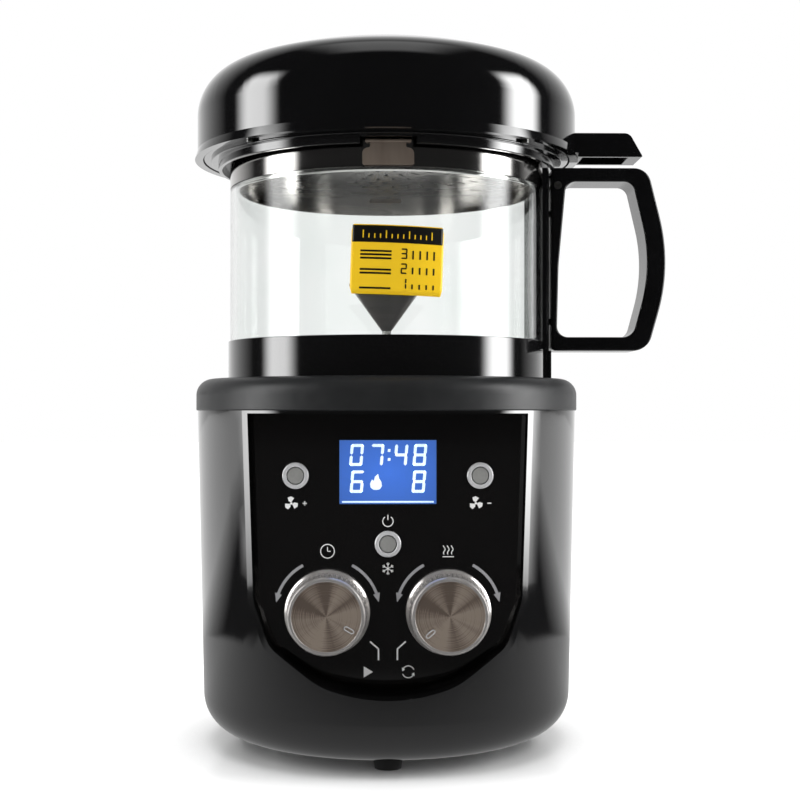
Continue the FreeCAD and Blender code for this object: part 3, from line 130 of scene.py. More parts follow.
def radial_metal(name, centre_x):
    """Spun metal disc on the panel: brush lines run round the knob's own centre.

    The tangent at a point p is the panel's normal crossed with p less the centre, so highlights
    form two opposite wedges, as on a turned face. Streaks vary with the angle about the centre,
    and broad noise on that angle also lightens and darkens the base colour in lobes: painted wedge
    highlights over the real brush lines.
    """
    material, tree = blank(name)
    place = add(tree, "TexCoord")
    centre = (centre_x * MM, 0, KNOB_Z * MM)
    out = add(tree, "VectorMath", {0: place.outputs["Object"], 1: centre}, operation="SUBTRACT")
    flat = add(tree, "VectorMath", {0: out.outputs[0], 1: (1, 0, 1)}, operation="MULTIPLY")
    tangent = add(tree, "VectorMath", {0: flat.outputs[0], 1: (0, 1, 0)}, operation="CROSS_PRODUCT")
    unit = add(tree, "VectorMath", {0: tangent.outputs[0]}, operation="NORMALIZE")
    spread = add(tree, "VectorMath", {0: flat.outputs[0]}, operation="NORMALIZE")
    radius = add(tree, "VectorMath", {0: flat.outputs[0]}, operation="LENGTH")
    rings = add(tree, "Math", {0: radius.outputs["Value"], 1: 2600.0}, operation="MULTIPLY")
    ring_noise = add(tree, "TexNoise", {"W": rings.outputs[0], "Scale": 1.0, "Detail": 2.0},
                     noise_dimensions="1D")
    streaks = add(tree, "TexNoise", {"Vector": spread.outputs[0], "Scale": 2.6, "Detail": 3.0})
    both = add(tree, "Math", {0: streaks.outputs[0], 1: ring_noise.outputs[0]}, operation="MULTIPLY")
    # Broad noise on the angle: painted wedge highlights, lighter and darker lobes in the base colour.
    painted_wedge_light = add(tree, "TexNoise", {"Vector": spread.outputs[0], "Scale": 1.3, "Detail": 0.0})
    brush_lines_and_painted_wedges = add(tree, "Math", {0: both.outputs[0], 1: painted_wedge_light.outputs[0]}, operation="ADD")
    tone = add(tree, "MapRange", {"Value": brush_lines_and_painted_wedges.outputs[0], "From Min": 0.62, "From Max": 0.86})
    # Real brush lines plus the painted wedge highlights set the colour between these two greys.
    colour = mix_colours(tree, tone.outputs[0], "#7A6C62", "#B5A698")
    bump = add(tree, "Bump", {"Height": ring_noise.outputs[0], "Distance": 0.01 * MM})
    close(tree, add(tree, "BsdfPrincipled", {
        "Base Color": colour, "Metallic": 0.55, "Roughness": 0.36, "Anisotropic": 0.85,
        "Tangent": unit.outputs[0], "Normal": bump.outputs[0]}))
    return material


def clear_glass(name, tint="#F6FAF8", roughness=0.0, ior=1.47):
    # Borosilicate tube: clear, slightly green in depth, with a faint film that softens reflections.
    material, tree = blank(name)
    film = object_noise(tree, 26)
    rough = add(tree, "MapRange", {"Value": film.outputs[0],
                                   "To Min": roughness, "To Max": roughness + 0.015})
    close(tree, add(tree, "BsdfPrincipled", {
        "Base Color": mix_colours(tree, film.outputs[0], tint, "#FFFFFF"),
        "Roughness": rough.outputs[0], "IOR": ior, "Transmission Weight": 1.0}))
    return material


def lit_screen(name, low, high, strength):
    # Backlit liquid crystal: even glow, a little brighter in the middle, seen through a polariser.
    material, tree = blank(name)
    place = add(tree, "TexCoord")
    middle = (0, 0, (LCD_LOW.z + LCD_HIGH.z) / 2)
    out = add(tree, "VectorMath", {0: place.outputs["Object"], 1: middle}, operation="SUBTRACT")
    flat = add(tree, "VectorMath", {0: out.outputs[0], 1: (1, 0, 1.4)}, operation="MULTIPLY")
    reach = add(tree, "VectorMath", {0: flat.outputs[0]}, operation="LENGTH")
    fall = add(tree, "MapRange", {"Value": reach.outputs["Value"], "From Max": 0.027})
    colour = mix_colours(tree, fall.outputs[0], high, low)
    close(tree, add(tree, "BsdfPrincipled", {
        "Base Color": colour, "Roughness": 0.4, "Emission Color": colour, "Emission Strength": strength}))
    return material


def ink(name, low, high):
    # Pad-printed ink: thin and even, slightly satin.
    return finish_of(name, low, high, (0.35, 0.5), 4, 0.4, 0.004)


# Finishes, by the real material
BLACK_BODY = piano_black("gloss_black_abs")
# Polished acrylic sheet: as black as the body, a touch softer in its reflections.
BLACK_PANEL = piano_black("panel_black_acrylic", "#070606", "#0C0A0A", (0.06, 0.1))
# Enamelled steel band: deep gloss.
BLACK_BAND = piano_black("band_black_enamel", "#080808", "#0D0D0E", (0.06, 0.11))
# Heat-proof nylon with glass fibre: black, semi-gloss, with a fine moulded grain.
BLACK_HANDLE = finish_of("handle_black_nylon", "#080809", "#0E0E0F", (0.13, 0.2), 7, 0.5, 0.006)
# The lid's inner ABS moulding, from a less polished tool: softer gloss.
LID_UNDER = piano_black("lid_under_black_abs", "#0A0A0A", "#101011", (0.08, 0.14))
# PC/ABS with a spark-eroded texture: dark grey, broad soft highlight.
RING_GREY = finish_of("ring_matt_grey", "#202122", "#2A2B2C", (0.34, 0.46), 6, 0.35, 0.03)
# Plain moulded ABS of inner parts: matt, near black.
MATT_BLACK = finish_of("matt_black_abs", "#141415", "#1B1B1C", (0.45, 0.6), 8, 0.5, 0.02)
# Moulded rubber: dull, dusty black.
RUBBER = finish_of("foot_rubber", "#121212", "#1D1D1D", (0.7, 0.85), 3, 0.3, 0.03)
# Moulded silicone: pale grey and dull.
SILICONE = finish_of("silicone_seal", "#A9A8A3", "#BDBBB6", (0.45, 0.6), 4, 0.4, 0.01)
# Brushed stainless sheet: light, with streaks along the brushing.
STAINLESS = brushed_metal("brushed_stainless", "#A9A5A2", "#C4C0BD", (0.2, 0.34), (9, 9, 0.6))
# Stainless spun on a lathe: darker, with lines round its axis.
SPUN_CONE = brushed_metal("spun_stainless", "#6F6966", "#8F8985", (0.24, 0.36), (6, 6, 0.4))
# Polished stainless strip: nearly a mirror, with faint rolling lines round it.
POLISHED = brushed_metal("polished_stainless", "#C4C2BF", "#D6D4D2", (0.06, 0.13), (12, 12, 0.7), 0.003)
# Spring steel strip, heat-browned: satin, half its light scattered.
SPRING = finish_of("spring_steel", "#85776C", "#A09285", (0.3, 0.42), 4, 0.6, 0.008,
                   (0.8, 4, 5), Metallic=0.5)
# Pressed steel sheet, uncoated: even grey, soft shine.
PLAIN_STEEL = brushed_metal("pressed_steel", "#8F8F8C", "#A3A3A0", (0.25, 0.4), (3, 3, 3))
# Zinc plate on turned steel: bluish grey, slightly patchy.
ZINC = finish_of("zinc_plated_steel", "#8D8E8C", "#B0B0AC", (0.25, 0.4), 3, 0.4, 0.006, Metallic=1.0)
# Bright chrome plate on plastic: pale and shiny, with some of its light scattered.
CHROME = finish_of("bright_chrome", "#F0F0F2", "#FAFAFC", (0.14, 0.22), 6, 2, 0.002, Metallic=0.4)
# Satin chrome plate: warmer and softer than the bright one.
KNOB_CHROME = finish_of("knob_satin_chrome", "#CFCBC8", "#E6E2DF", (0.16, 0.26), 3, 0.5, 0.004, Metallic=0.7)
# Smoked acrylic over a pale base: mid grey, glossy.
BUTTON = finish_of("button_smoked_acrylic", "#8C8C8A", "#9E9E9B", (0.1, 0.2), 2, 0.5, 0.004, IOR=1.7)
# Turned brass: yellow metal with a faint tool finish.
BRASS = finish_of("turned_brass", "#B08D4A", "#C8A862", (0.25, 0.4), 3, 0.4, 0.004, Metallic=1.0)
# Circuit board: green solder mask over copper tracks.
BOARD = finish_of("solder_mask_green", "#0E4A24", "#166334", (0.25, 0.4), 2.5, 0.6, 0.01)
# Heater sheath, oxidised by heat: dull brown steel.
SHEATH = finish_of("heater_sheath_steel", "#4F4A46", "#6B6058", (0.35, 0.5), 5, 0.5, 0.01, Metallic=1.0)
# Pressed mica sheet: tan, flaky, half glossy.
MICA = finish_of("mica_sheet", "#8F7B58", "#B19B73", (0.3, 0.5), 4, 0.8, 0.02)
# Unglazed ceramic: cream, matt.
CERAMIC = finish_of("cutout_ceramic", "#B9B2A2", "#CCC6B8", (0.4, 0.55), 3, 0.4, 0.01)
# Rolled aluminium sheet: pale, soft shine.
FAN_METAL = brushed_metal("fan_aluminium", "#A5A8AA", "#BEC1C3", (0.3, 0.45), (3, 3, 3))
GLASS = clear_glass("borosilicate_glass")
WINDOW = clear_glass("display_window_acrylic", "#F4F6FA", 0.02, 1.2)
SCREEN = lit_screen("blue_backlight", "#466BA8", "#4F7BBE", 0.85)
DIGIT = lit_screen("lit_segment", "#C9E4FF", "#F2FBFF", 1.0)
WHITE_INK = ink("white_print", "#F4F4F2", "#FFFFFF")
GREY_INK = ink("grey_print", "#A2A2A5", "#B4B4B7")
# Self-adhesive vinyl: even, strong yellow, satin.
YELLOW_FILM = finish_of("yellow_vinyl", "#FFCC00", "#FFD400", (0.3, 0.42), 9, 1.0, 0.006)
BLACK_INK = ink("black_print", "#0C0B08", "#15130F")

NODE_FINISH = {
    "base_housing": BLACK_BODY, "bottom_cover": MATT_BLACK, "base_screws": ZINC, "rubber_feet": RUBBER,
    "control_panel": BLACK_PANEL, "lcd_window": WINDOW, "lcd_module": SCREEN, "display_board": BOARD,
    "board_posts": BRASS, "button_bezels": CHROME, "button_switches": MATT_BLACK, "encoder_bodies": ZINC,
    "shoulder_ring": RING_GREY, "top_deck": PLAIN_STEEL, "chamber_socket": PLAIN_STEEL,
    "seat_gasket": SILICONE, "motor_body": PLAIN_STEEL, "motor_bearing": BRASS,
    "motor_bracket": PLAIN_STEEL, "blower_pillars": ZINC, "blower_housing": MATT_BLACK,
    "heater_duct": PLAIN_STEEL, "heater_element": SHEATH, "heater_frame": MICA,
    "thermal_cutouts": CERAMIC, "power_board": BOARD, "cord_gland": RUBBER, "fan_impeller": FAN_METAL,
    "motor_shaft": ZINC, "fan_up_button": BUTTON, "fan_down_button": BUTTON, "power_button": BUTTON,
    "time_rotor": MATT_BLACK, "time_knob": KNOB_CHROME, "time_knob_face": radial_metal("time_face", -KNOB_X),
    "time_shaft": ZINC, "heat_rotor": MATT_BLACK, "heat_knob": KNOB_CHROME,
    "heat_knob_face": radial_metal("heat_face", KNOB_X), "heat_shaft": ZINC, "lower_band": BLACK_BAND,
    "glass_gasket": SILICONE, "glass_chamber": GLASS, "air_plate": STAINLESS,
    "deflector_cone": SPUN_CONE, "deflector_cap": SPUN_CONE, "deflector_bolt": ZINC,
    "frame_bar": BLACK_HANDLE, "handle": BLACK_HANDLE, "handle_screws": ZINC,
    "filter_sleeve": POLISHED, "filter_plate": STAINLESS, "chaff_cup": STAINLESS,
    "chaff_screen": STAINLESS, "lid_dome": BLACK_BODY, "lid_deck": LID_UNDER, "lid_tab": BLACK_HANDLE,
    "lid_screws": ZINC, "front_clip": SPRING, "rear_clip": SPRING,
}


def dress_nodes():
    for name, material in NODE_FINISH.items():
        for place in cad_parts[name].material_slots:
            place.material = material


def piece_from(name, points, faces, material, body, smooth=False, thick_mm=0.0):
    """One piece from point and face arrays in millimetres, riding on a body."""
    mesh = bpy.data.meshes.new(name)
    mesh.from_pydata((np.asarray(points, float) * MM).tolist(), [], [list(map(int, f)) for f in faces])
    mesh.materials.append(material)
    mesh.update()
    piece = bpy.data.objects.new(name, mesh)
    bpy.context.scene.collection.objects.link(piece)
    if smooth:
        mesh.shade_smooth()
    if thick_mm:
        wall = piece.modifiers.new("thickness", "SOLIDIFY")
        wall.thickness = thick_mm * MM
        wall.offset = 1.0
    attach(piece, body)


class Drawing:
    """Flat strokes and fills in (a, b) millimetres, kept as one set of points and faces."""

    def __init__(self):
        self.points = []
        self.faces = []

    def fill(self, outline):
        """One convex polygon."""
        first = len(self.points)
        self.points.extend((float(a), float(b)) for a, b in outline)
        self.faces.append(range(first, first + len(outline)))

    def stroke(self, line, width, closed=False):
        """Ribbon of constant width along a line: each point is moved half a width both ways
        along the mean of its neighbours' normals."""
        line = np.asarray(line, float)
        if len(line) == 2:
            line = line[0] + np.linspace(0, 1, 9)[:, None] * (line[1] - line[0])
        if closed:
            before, after = np.roll(line, 1, 0), np.roll(line, -1, 0)
        else:
            before = np.vstack([line[:1], line[:-1]])
            after = np.vstack([line[1:], line[-1:]])
        step = after - before
        normal = np.stack([-step[:, 1], step[:, 0]], 1)
        normal /= np.linalg.norm(normal, axis=1)[:, None]
        left, right = line + normal * width / 2, line - normal * width / 2
        count = len(line)
        first = len(self.points)
        self.points.extend(map(tuple, np.vstack([left, right])))
        for i in range(count if closed else count - 1):
            j = (i + 1) % count
            self.faces.append((first + i, first + j, first + count + j, first + count + i))

    def arc(self, centre, radius, start, end, width, steps=24):
        angles = np.radians(np.linspace(start, end, steps))
        line = np.stack([centre[0] + radius * np.cos(angles), centre[1] + radius * np.sin(angles)], 1)
        self.stroke(line, width)

    def disc(self, centre, radius):
        angles = np.linspace(0, 2 * math.pi, 12, endpoint=False)
        self.fill(np.stack([centre[0] + radius * np.cos(angles),
                            centre[1] + radius * np.sin(angles)], 1))

    def turned_faces(self):
        """The faces, each ordered so that its signed area is positive."""
        turned = []
        for face in self.faces:
            ring = [self.points[i] for i in face]
            area = sum(ring[i - 1][0] * ring[i][1] - ring[i][0] * ring[i - 1][1]
                       for i in range(len(ring)))
            turned.append(list(face) if area > 0 else list(face)[::-1])
        return turned


def on_panel(drawing, name, material, y, body="base"):
    """Lay a drawing on a plane of constant y; its faces look towards -Y."""
    points = [(a, y, b) for a, b in drawing.points]
    piece_from(name, points, drawing.turned_faces(), material, body, thick_mm=INK_THICK)


SEGMENTS = {
    "0": "abcdef", "1": "bc", "2": "abged", "3": "abgcd", "4": "fgbc", "5": "afgcd", "6": "afgedc",
    "7": "abc", "8": "abcdefg", "9": "abcdfg",
}


def digit(drawing, text, left, low, width, height, stroke, slant=0.0):
    """Seven-segment figure: six-sided bars with small gaps where they meet."""
    half = stroke / 2
    gap = stroke * 0.12
    middle = height / 2
    bars = {
        "a": ((0, height), (width, height)), "d": ((0, 0), (width, 0)), "g": ((0, middle), (width, middle)),
        "f": ((0, middle), (0, height)), "b": ((width, middle), (width, height)),
        "e": ((0, 0), (0, middle)), "c": ((width, 0), (width, middle)),
    }
    for key in SEGMENTS[text]:
        (x0, z0), (x1, z1) = bars[key]
        if z0 == z1:
            z0 = z1 = min(max(z0, half), height - half)
            outline = [(x0 + gap, z0), (x0 + gap + half, z0 + half), (x1 - gap - half, z0 + half),
                       (x1 - gap, z0), (x1 - gap - half, z0 - half), (x0 + gap + half, z0 - half)]
        else:
            x0 = min(max(x0, half), width - half)
            outline = [(x0, z0 + gap), (x0 - half, z0 + gap + half), (x0 - half, z1 - gap - half),
                       (x0, z1 - gap), (x0 + half, z1 - gap - half), (x0 + half, z0 + gap + half)]
        drawing.fill([(left + x + slant * z, low + z) for x, z in outline])


# Display
PIXELS_PER_MM = 2.367
LCD_CENTRE_PIXEL = (387.5, 472.5)


def lcd_place(pixel_x, pixel_y):
    """Panel millimetres of a photograph pixel on the display."""
    centre_z = (LCD_LOW.z + LCD_HIGH.z) / 2 / MM
    return ((pixel_x - LCD_CENTRE_PIXEL[0]) / PIXELS_PER_MM,
            centre_z - (pixel_y - LCD_CENTRE_PIXEL[1]) / PIXELS_PER_MM)


def display_figures():
    drawing = Drawing()
    upper, lower = (444.5, 466.5), (471.0, 493.5)
    figures = [("0", 348.5, upper), ("7", 369.0, upper), ("4", 393.0, upper), ("8", 412.0, upper),
               ("6", 349.0, lower), ("8", 411.0, lower)]
    for text, left_pixel, (top_pixel, low_pixel) in figures:
        left, high = lcd_place(left_pixel, top_pixel)
        low = lcd_place(left_pixel, low_pixel)[1]
        digit(drawing, text, left, low, 5.6, high - low, 1.25, 0.09)
    for pixel_y in (451.0, 460.0):
        x, z = lcd_place(388.5, pixel_y)
        drawing.fill([(x - 0.5, z - 0.6), (x + 0.6, z - 0.6), (x + 0.7, z + 0.6), (x - 0.4, z + 0.6)])
    drawing_flame(drawing, *lcd_place(375.5, 483.0))
    left, z = lcd_place(341.5, 502.5)
    right = lcd_place(433.5, 502.5)[0]
    drawing.stroke([(left, z), (right, z)], 0.7)
    y = LCD_LOW.y / MM + 1.5
    on_panel(drawing, "display_figures", DIGIT, y)


def drawing_flame(drawing, x, z):
    """A flame: one closed outline with two tips, filled as a fan of triangles."""
    outer = [(0.0, -3.2), (1.6, -2.9), (2.5, -1.6), (2.3, 0.2), (1.4, 1.6), (0.9, 3.6), (-0.4, 2.4),
             (-0.9, 0.6), (-1.7, 1.2), (-2.5, -0.6), (-2.2, -2.2), (-1.2, -3.0)]
    hub = (0.1, -1.2)
    for a, b in zip(outer, outer[1:] + outer[:1]):
        drawing.fill([(x + hub[0], z + hub[1]), (x + a[0], z + a[1]), (x + b[0], z + b[1])])


def screen_face():
    """The lit sheet right behind the window, a little smaller than it."""
    inset = 0.2
    low, high = LCD_LOW / MM, LCD_HIGH / MM
    y = LCD_LOW.y / MM + 1.62
    drawing = Drawing()
    drawing.fill([(low.x + inset, low.z + inset), (high.x - inset, low.z + inset),
                  (high.x - inset, high.z - inset), (low.x + inset, high.z - inset)])
    on_panel(drawing, "display_sheet", SCREEN, y)


# Print on the panel
def arrow_arcs(drawing):
    """Curved arrows on both upper sides of each knob."""
    radius, width, half_head = 22.0, 1.2, 1.5
    for centre_x in (-KNOB_X, KNOB_X):
        for start, end in ((118, 160), (62, 20)):
            drawing.arc((centre_x, KNOB_Z), radius, start, end, width)
            turn = math.radians(end)
            way = 1 if end > start else -1
            tip = math.radians(end + way * 10)
            drawing.fill([
                (centre_x + radius * math.cos(tip), KNOB_Z + radius * math.sin(tip)),
                (centre_x + (radius + half_head) * math.cos(turn),
                 KNOB_Z + (radius + half_head) * math.sin(turn)),
                (centre_x + (radius - half_head) * math.cos(turn),
                 KNOB_Z + (radius - half_head) * math.sin(turn)),
            ])


def bracket_lines(drawing):
    """A line from under each knob that bends down to its symbol."""
    for side in (-1, 1):
        drawing.stroke([(side * 7.5, 53.4), (side * 4.0, 50.3), (side * 4.0, 45.6)], 0.65)


def fan_symbol(drawing, x, z, size, sign):
    """Three-bladed fan with a plus or minus beside it."""
    for i in range(3):
        middle = math.radians(90 + 120 * i)
        outline = [(0.15, 0.0), (0.75, -0.42), (1.0, 0.05), (0.8, 0.5), (0.3, 0.35)]
        drawing.fill([(x + size * (a * math.cos(middle) - b * math.sin(middle)),
                       z + size * (a * math.sin(middle) + b * math.cos(middle))) for a, b in outline])
    drawing.disc((x, z), size * 0.18)
    mark = x + size * 1.9
    drawing.stroke([(mark - 0.9, z), (mark + 0.9, z)], 0.4)
    if sign > 0:
        drawing.stroke([(mark, z - 0.9), (mark, z + 0.9)], 0.4)


def power_symbol(drawing, x, z, size):
    """Open ring with a bar in its gap."""
    drawing.arc((x, z), size, 125, 415, 0.4)
    drawing.stroke([(x, z + size * 0.25), (x, z + size * 1.25)], 0.4)


def cool_symbol(drawing, x, z, size):
    """Six-armed flake."""
    for i in range(6):
        angle = math.radians(60 * i + 30)
        along = np.array([math.cos(angle), math.sin(angle)])
        side = np.array([-along[1], along[0]])
        middle = np.array([x, z])
        drawing.stroke([middle, middle + along * size], 0.3)
        knee = middle + along * size * 0.6
        for way in (-1, 1):
            drawing.stroke([knee, knee + (along + side * way) * size * 0.25], 0.25)


def clock_symbol(drawing, x, z, size):
    """Ring with two hands."""
    drawing.arc((x, z), size, 0, 360, 0.4, 32)
    drawing.stroke([(x, z), (x, z + size * 0.62)], 0.35)
    drawing.stroke([(x, z), (x + size * 0.45, z)], 0.35)


def heat_symbol(drawing, x, z, size):
    """Three rising waves over a bar."""
    rise = np.linspace(-0.6, 1.0, 14)
    for shift in (-0.7, 0.0, 0.7):
        wave = np.stack([x + size * (shift + 0.16 * np.sin(rise * 5)), z + size * rise], 1)
        drawing.stroke(wave, 0.35)
    drawing.stroke([(x - size, z - size), (x + size, z - size)], 0.4)


def start_symbol(drawing, x, z, size):
    """Triangle that points to +X."""
    drawing.fill([(x - size * 0.7, z - size), (x + size, z), (x - size * 0.7, z + size)])


def repeat_symbol(drawing, x, z, size):
    """Two turning arrows in a ring."""
    for start in (20, 200):
        drawing.arc((x, z), size, start, start + 125, 0.4, 16)
        turn = math.radians(start + 125)
        tip = math.radians(start + 155)
        drawing.fill([(x + size * math.cos(tip), z + size * math.sin(tip)),
                      (x + (size + 0.8) * math.cos(turn), z + (size + 0.8) * math.sin(turn)),
                      (x + (size - 0.8) * math.cos(turn), z + (size - 0.8) * math.sin(turn))])


def panel_print():
    y = PANEL_Y - INK_LIFT
    grey = Drawing()
    arrow_arcs(grey)
    on_panel(grey, "knob_arrows", GREY_INK, y)
    white = Drawing()
    bracket_lines(white)
    fan_symbol(white, -40.8, 111.8, 3.0, 1)
    fan_symbol(white, 37.2, 111.8, 3.0, -1)
    power_symbol(white, 0.0, 104.2, 2.2)
    cool_symbol(white, 0.0, 84.2, 2.6)
    clock_symbol(white, -KNOB_X, 91.6, 2.9)
    heat_symbol(white, KNOB_X, 91.6, 2.4)
    start_symbol(white, -8.6, 40.6, 2.3)
    repeat_symbol(white, 8.6, 40.6, 2.5)
    on_panel(white, "panel_symbols", WHITE_INK, y)


def knob_marks():
    """A small capsule outline on each knob's face, lying along a radius."""
    for side, body, degrees in ((-1, "time_dial", -30), (1, "heat_dial", -139)):
        turn = math.radians(degrees)
        along = np.array([math.cos(turn), math.sin(turn)])
        across = np.array([-along[1], along[0]])
        middle = np.array([side * KNOB_X, KNOB_Z]) + along * 10.8
        half, radius = 1.4, 0.75
        outline = []
        for end, start in ((1, -90), (-1, 90)):
            for angle in np.radians(np.linspace(start, start + 180, 9)):
                outline.append(middle + along * (end * half + radius * math.cos(angle))
                               + across * radius * math.sin(angle))
        drawing = Drawing()
        drawing.stroke(outline, 0.4, closed=True)
        name = "time_mark" if side < 0 else "heat_mark"
        on_panel(drawing, name, CHROME, KNOB_FACE_Y - INK_LIFT, body)


# Gauge film on the glass
FILM_CENTRE = (3.8, 213.5)
FILM_SIZE = (39.0, 29.0)
FILM_TURN = math.radians(-2.0)
FILM_LIFT = 0.12
FILM_THICK = 0.06


def on_glass(points, lift):
    """Wrap flat (a, b) points round the glass: a becomes arc length about the Z axis."""
    points = np.asarray(points, float)
    cos_turn, sin_turn = math.cos(FILM_TURN), math.sin(FILM_TURN)
    a = FILM_CENTRE[0] + points[:, 0] * cos_turn - points[:, 1] * sin_turn
    b = FILM_CENTRE[1] + points[:, 0] * sin_turn + points[:, 1] * cos_turn
    radius = GLASS_R + lift
    angle = a / GLASS_R
    return np.stack([radius * np.sin(angle), -radius * np.cos(angle), b], 1)


def film_patch(name, low, high, material, lift, corner=0.0):
    """Rectangle of film on a grid of (u, v), with its corners drawn in by a small radius."""
    columns, rows = 40, 12
    u, v = np.meshgrid(np.linspace(low[0], high[0], columns), np.linspace(low[1], high[1], rows))
    if corner:
        middle_a, half_a = (low[0] + high[0]) / 2, (high[0] - low[0]) / 2
        edge = np.abs(np.abs(v - (low[1] + high[1]) / 2) - (high[1] - low[1]) / 2)
        across = np.sqrt(np.maximum(corner ** 2 - (corner - edge) ** 2, 0))
        inset = np.where(edge < corner, corner - across, 0)
        u = middle_a + (u - middle_a) * (half_a - inset) / half_a
    points = on_glass(np.stack([u.ravel(), v.ravel()], 1), lift)
    first = (np.arange(rows - 1)[:, None] * columns + np.arange(columns - 1)[None, :]).ravel()
    faces = np.stack([first, first + 1, first + columns + 1, first + columns], 1)
    piece_from(name, points, faces, material, "carafe", smooth=True, thick_mm=FILM_THICK)


def gauge_film():
    """Generic fill gauge: black header with a scale, yellow field with level bars and plain numbers."""
    half_a, half_b = FILM_SIZE[0] / 2, FILM_SIZE[1] / 2
    header = 7.4
    film_patch("gauge_film", (-half_a, -half_b), (half_a, half_b), YELLOW_FILM, FILM_LIFT, 0.8)
    film_patch("gauge_header", (-half_a + 0.4, half_b - header), (half_a - 0.4, half_b - 0.4), BLACK_INK,
               FILM_LIFT + 0.08)
    scale = Drawing()
    for i in range(13):
        a = -half_a + 5 + i * 2.4
        tall = 3.2 if i % 4 == 0 else 1.8
        scale.stroke([(a, half_b - 5.6), (a, half_b - 5.6 + tall)], 0.45)
    on_film(scale, "gauge_scale", YELLOW_FILM, FILM_LIFT + 0.16)
    marks = Drawing()
    for i, text in enumerate("123"):
        low = -half_b + 2.6 + i * 6.2
        for step in range(i + 1):
            marks.stroke([(-half_a + 4, low + step * 1.5), (-half_a + 17, low + step * 1.5)], 0.8)
        digit(marks, text, -half_a + 21, low, 2.6, 4.4, 0.6)
        for step in range(4):
            a = half_a - 13 + step * 3.0
            marks.stroke([(a, low), (a, low + 1.2 + 0.8 * (i + 1))], 0.7)
    on_film(marks, "gauge_marks", BLACK_INK, FILM_LIFT + 0.1)


def on_film(drawing, name, material, lift):
    """Lay a drawing on the glass, in the film's own flat millimetres."""
    points = on_glass(drawing.points, lift)
    piece_from(name, points, drawing.turned_faces(), material, "carafe", thick_mm=INK_THICK)


# Studio
SOFT_EDGE = {"X": 0.75, "Y": 0.5}


def soft_box(name, place, target, size, radiance, seen_by_glass=True):
    """Area lamp turned to its target. Its middle gives the stated radiance and its edges fade.

    With u and v from 0 to 1 over the face, the fade is the product of smoothstep((1 - |2u - 1|) / e)
    and smoothstep((1 - |2v - 1|) / e), where e is the axis's SOFT_EDGE, so inside it the face is full.
    """
    lamp = bpy.data.lights.new(name, "AREA")
    lamp.shape = "RECTANGLE"
    lamp.size, lamp.size_y = size
    lamp.energy = radiance * math.pi * size[0] * size[1]
    lamp.use_nodes = True
    tree = lamp.node_tree
    tree.nodes.clear()
    split = add(tree, "SeparateXYZ", {0: add(tree, "NewGeometry").outputs["Parametric"]})
    fades = []
    for axis in ("X", "Y"):
        wide = add(tree, "Math", {0: split.outputs[axis], 1: 2.0, 2: -1.0}, operation="MULTIPLY_ADD")
        out = add(tree, "Math", {0: wide.outputs[0]}, operation="ABSOLUTE")
        fades.append(add(tree, "MapRange", {"Value": out.outputs[0], "From Min": 1.0 - SOFT_EDGE[axis],
                                            "From Max": 1.0, "To Min": 1.0, "To Max": 0.0},
                         interpolation_type="SMOOTHSTEP"))
    strength = add(tree, "Math", {0: fades[0].outputs[0], 1: fades[1].outputs[0]}, operation="MULTIPLY")
    glow = add(tree, "Emission", {"Strength": strength.outputs[0]})
    tree.links.new(glow.outputs[0], add(tree, "OutputLight").inputs[0])
    holder = bpy.data.objects.new(name, lamp)
    holder.location = place
    way = np.array(target, float) - np.array(place, float)
    flat = math.hypot(way[0], way[1])
    holder.rotation_euler = (math.atan2(flat, -way[2]), 0, math.atan2(way[1], way[0]) - math.pi / 2)
    holder.visible_camera = False
    holder.visible_transmission = seen_by_glass
    bpy.context.scene.collection.objects.link(holder)


def studio_world():
    """White behind the object for the camera and for glass; darker in front for reflections."""
    world = bpy.data.worlds.new("studio")
    bpy.context.scene.world = world
    world.use_nodes = True
    tree = world.node_tree
    tree.nodes.clear()
    place = add(tree, "TexCoord")
    split = add(tree, "SeparateXYZ", {0: place.outputs["Generated"]})
    back = add(tree, "MapRange", {"Value": split.outputs["Y"], "From Min": 0.35, "From Max": 0.95,
                                  "To Min": 0.015, "To Max": 0.9})
    along = add(tree, "Math", {0: split.outputs["Y"]}, operation="ABSOLUTE")
    through = add(tree, "MapRange", {"Value": along.outputs[0], "From Min": 0.3, "From Max": 0.8,
                                     "To Min": 0.0, "To Max": 1.0})
    path = add(tree, "LightPath")
    plain = add(tree, "Mix", {0: path.outputs["Is Glossy Ray"], 2: 0.75,
                              3: back.outputs[0]}, data_type="FLOAT")
    clear = add(tree, "Mix", {0: path.outputs["Is Transmission Ray"], 2: plain.outputs[0],
                              3: through.outputs[0]}, data_type="FLOAT")
    seen = add(tree, "Mix", {0: path.outputs["Is Camera Ray"], 2: clear.outputs[0],
                             3: 1.0}, data_type="FLOAT")
    light = add(tree, "Background", {"Color": (1, 1, 1, 1), "Strength": seen.outputs[0]})
    add(tree, "OutputWorld", {"Surface": light.outputs[0]})


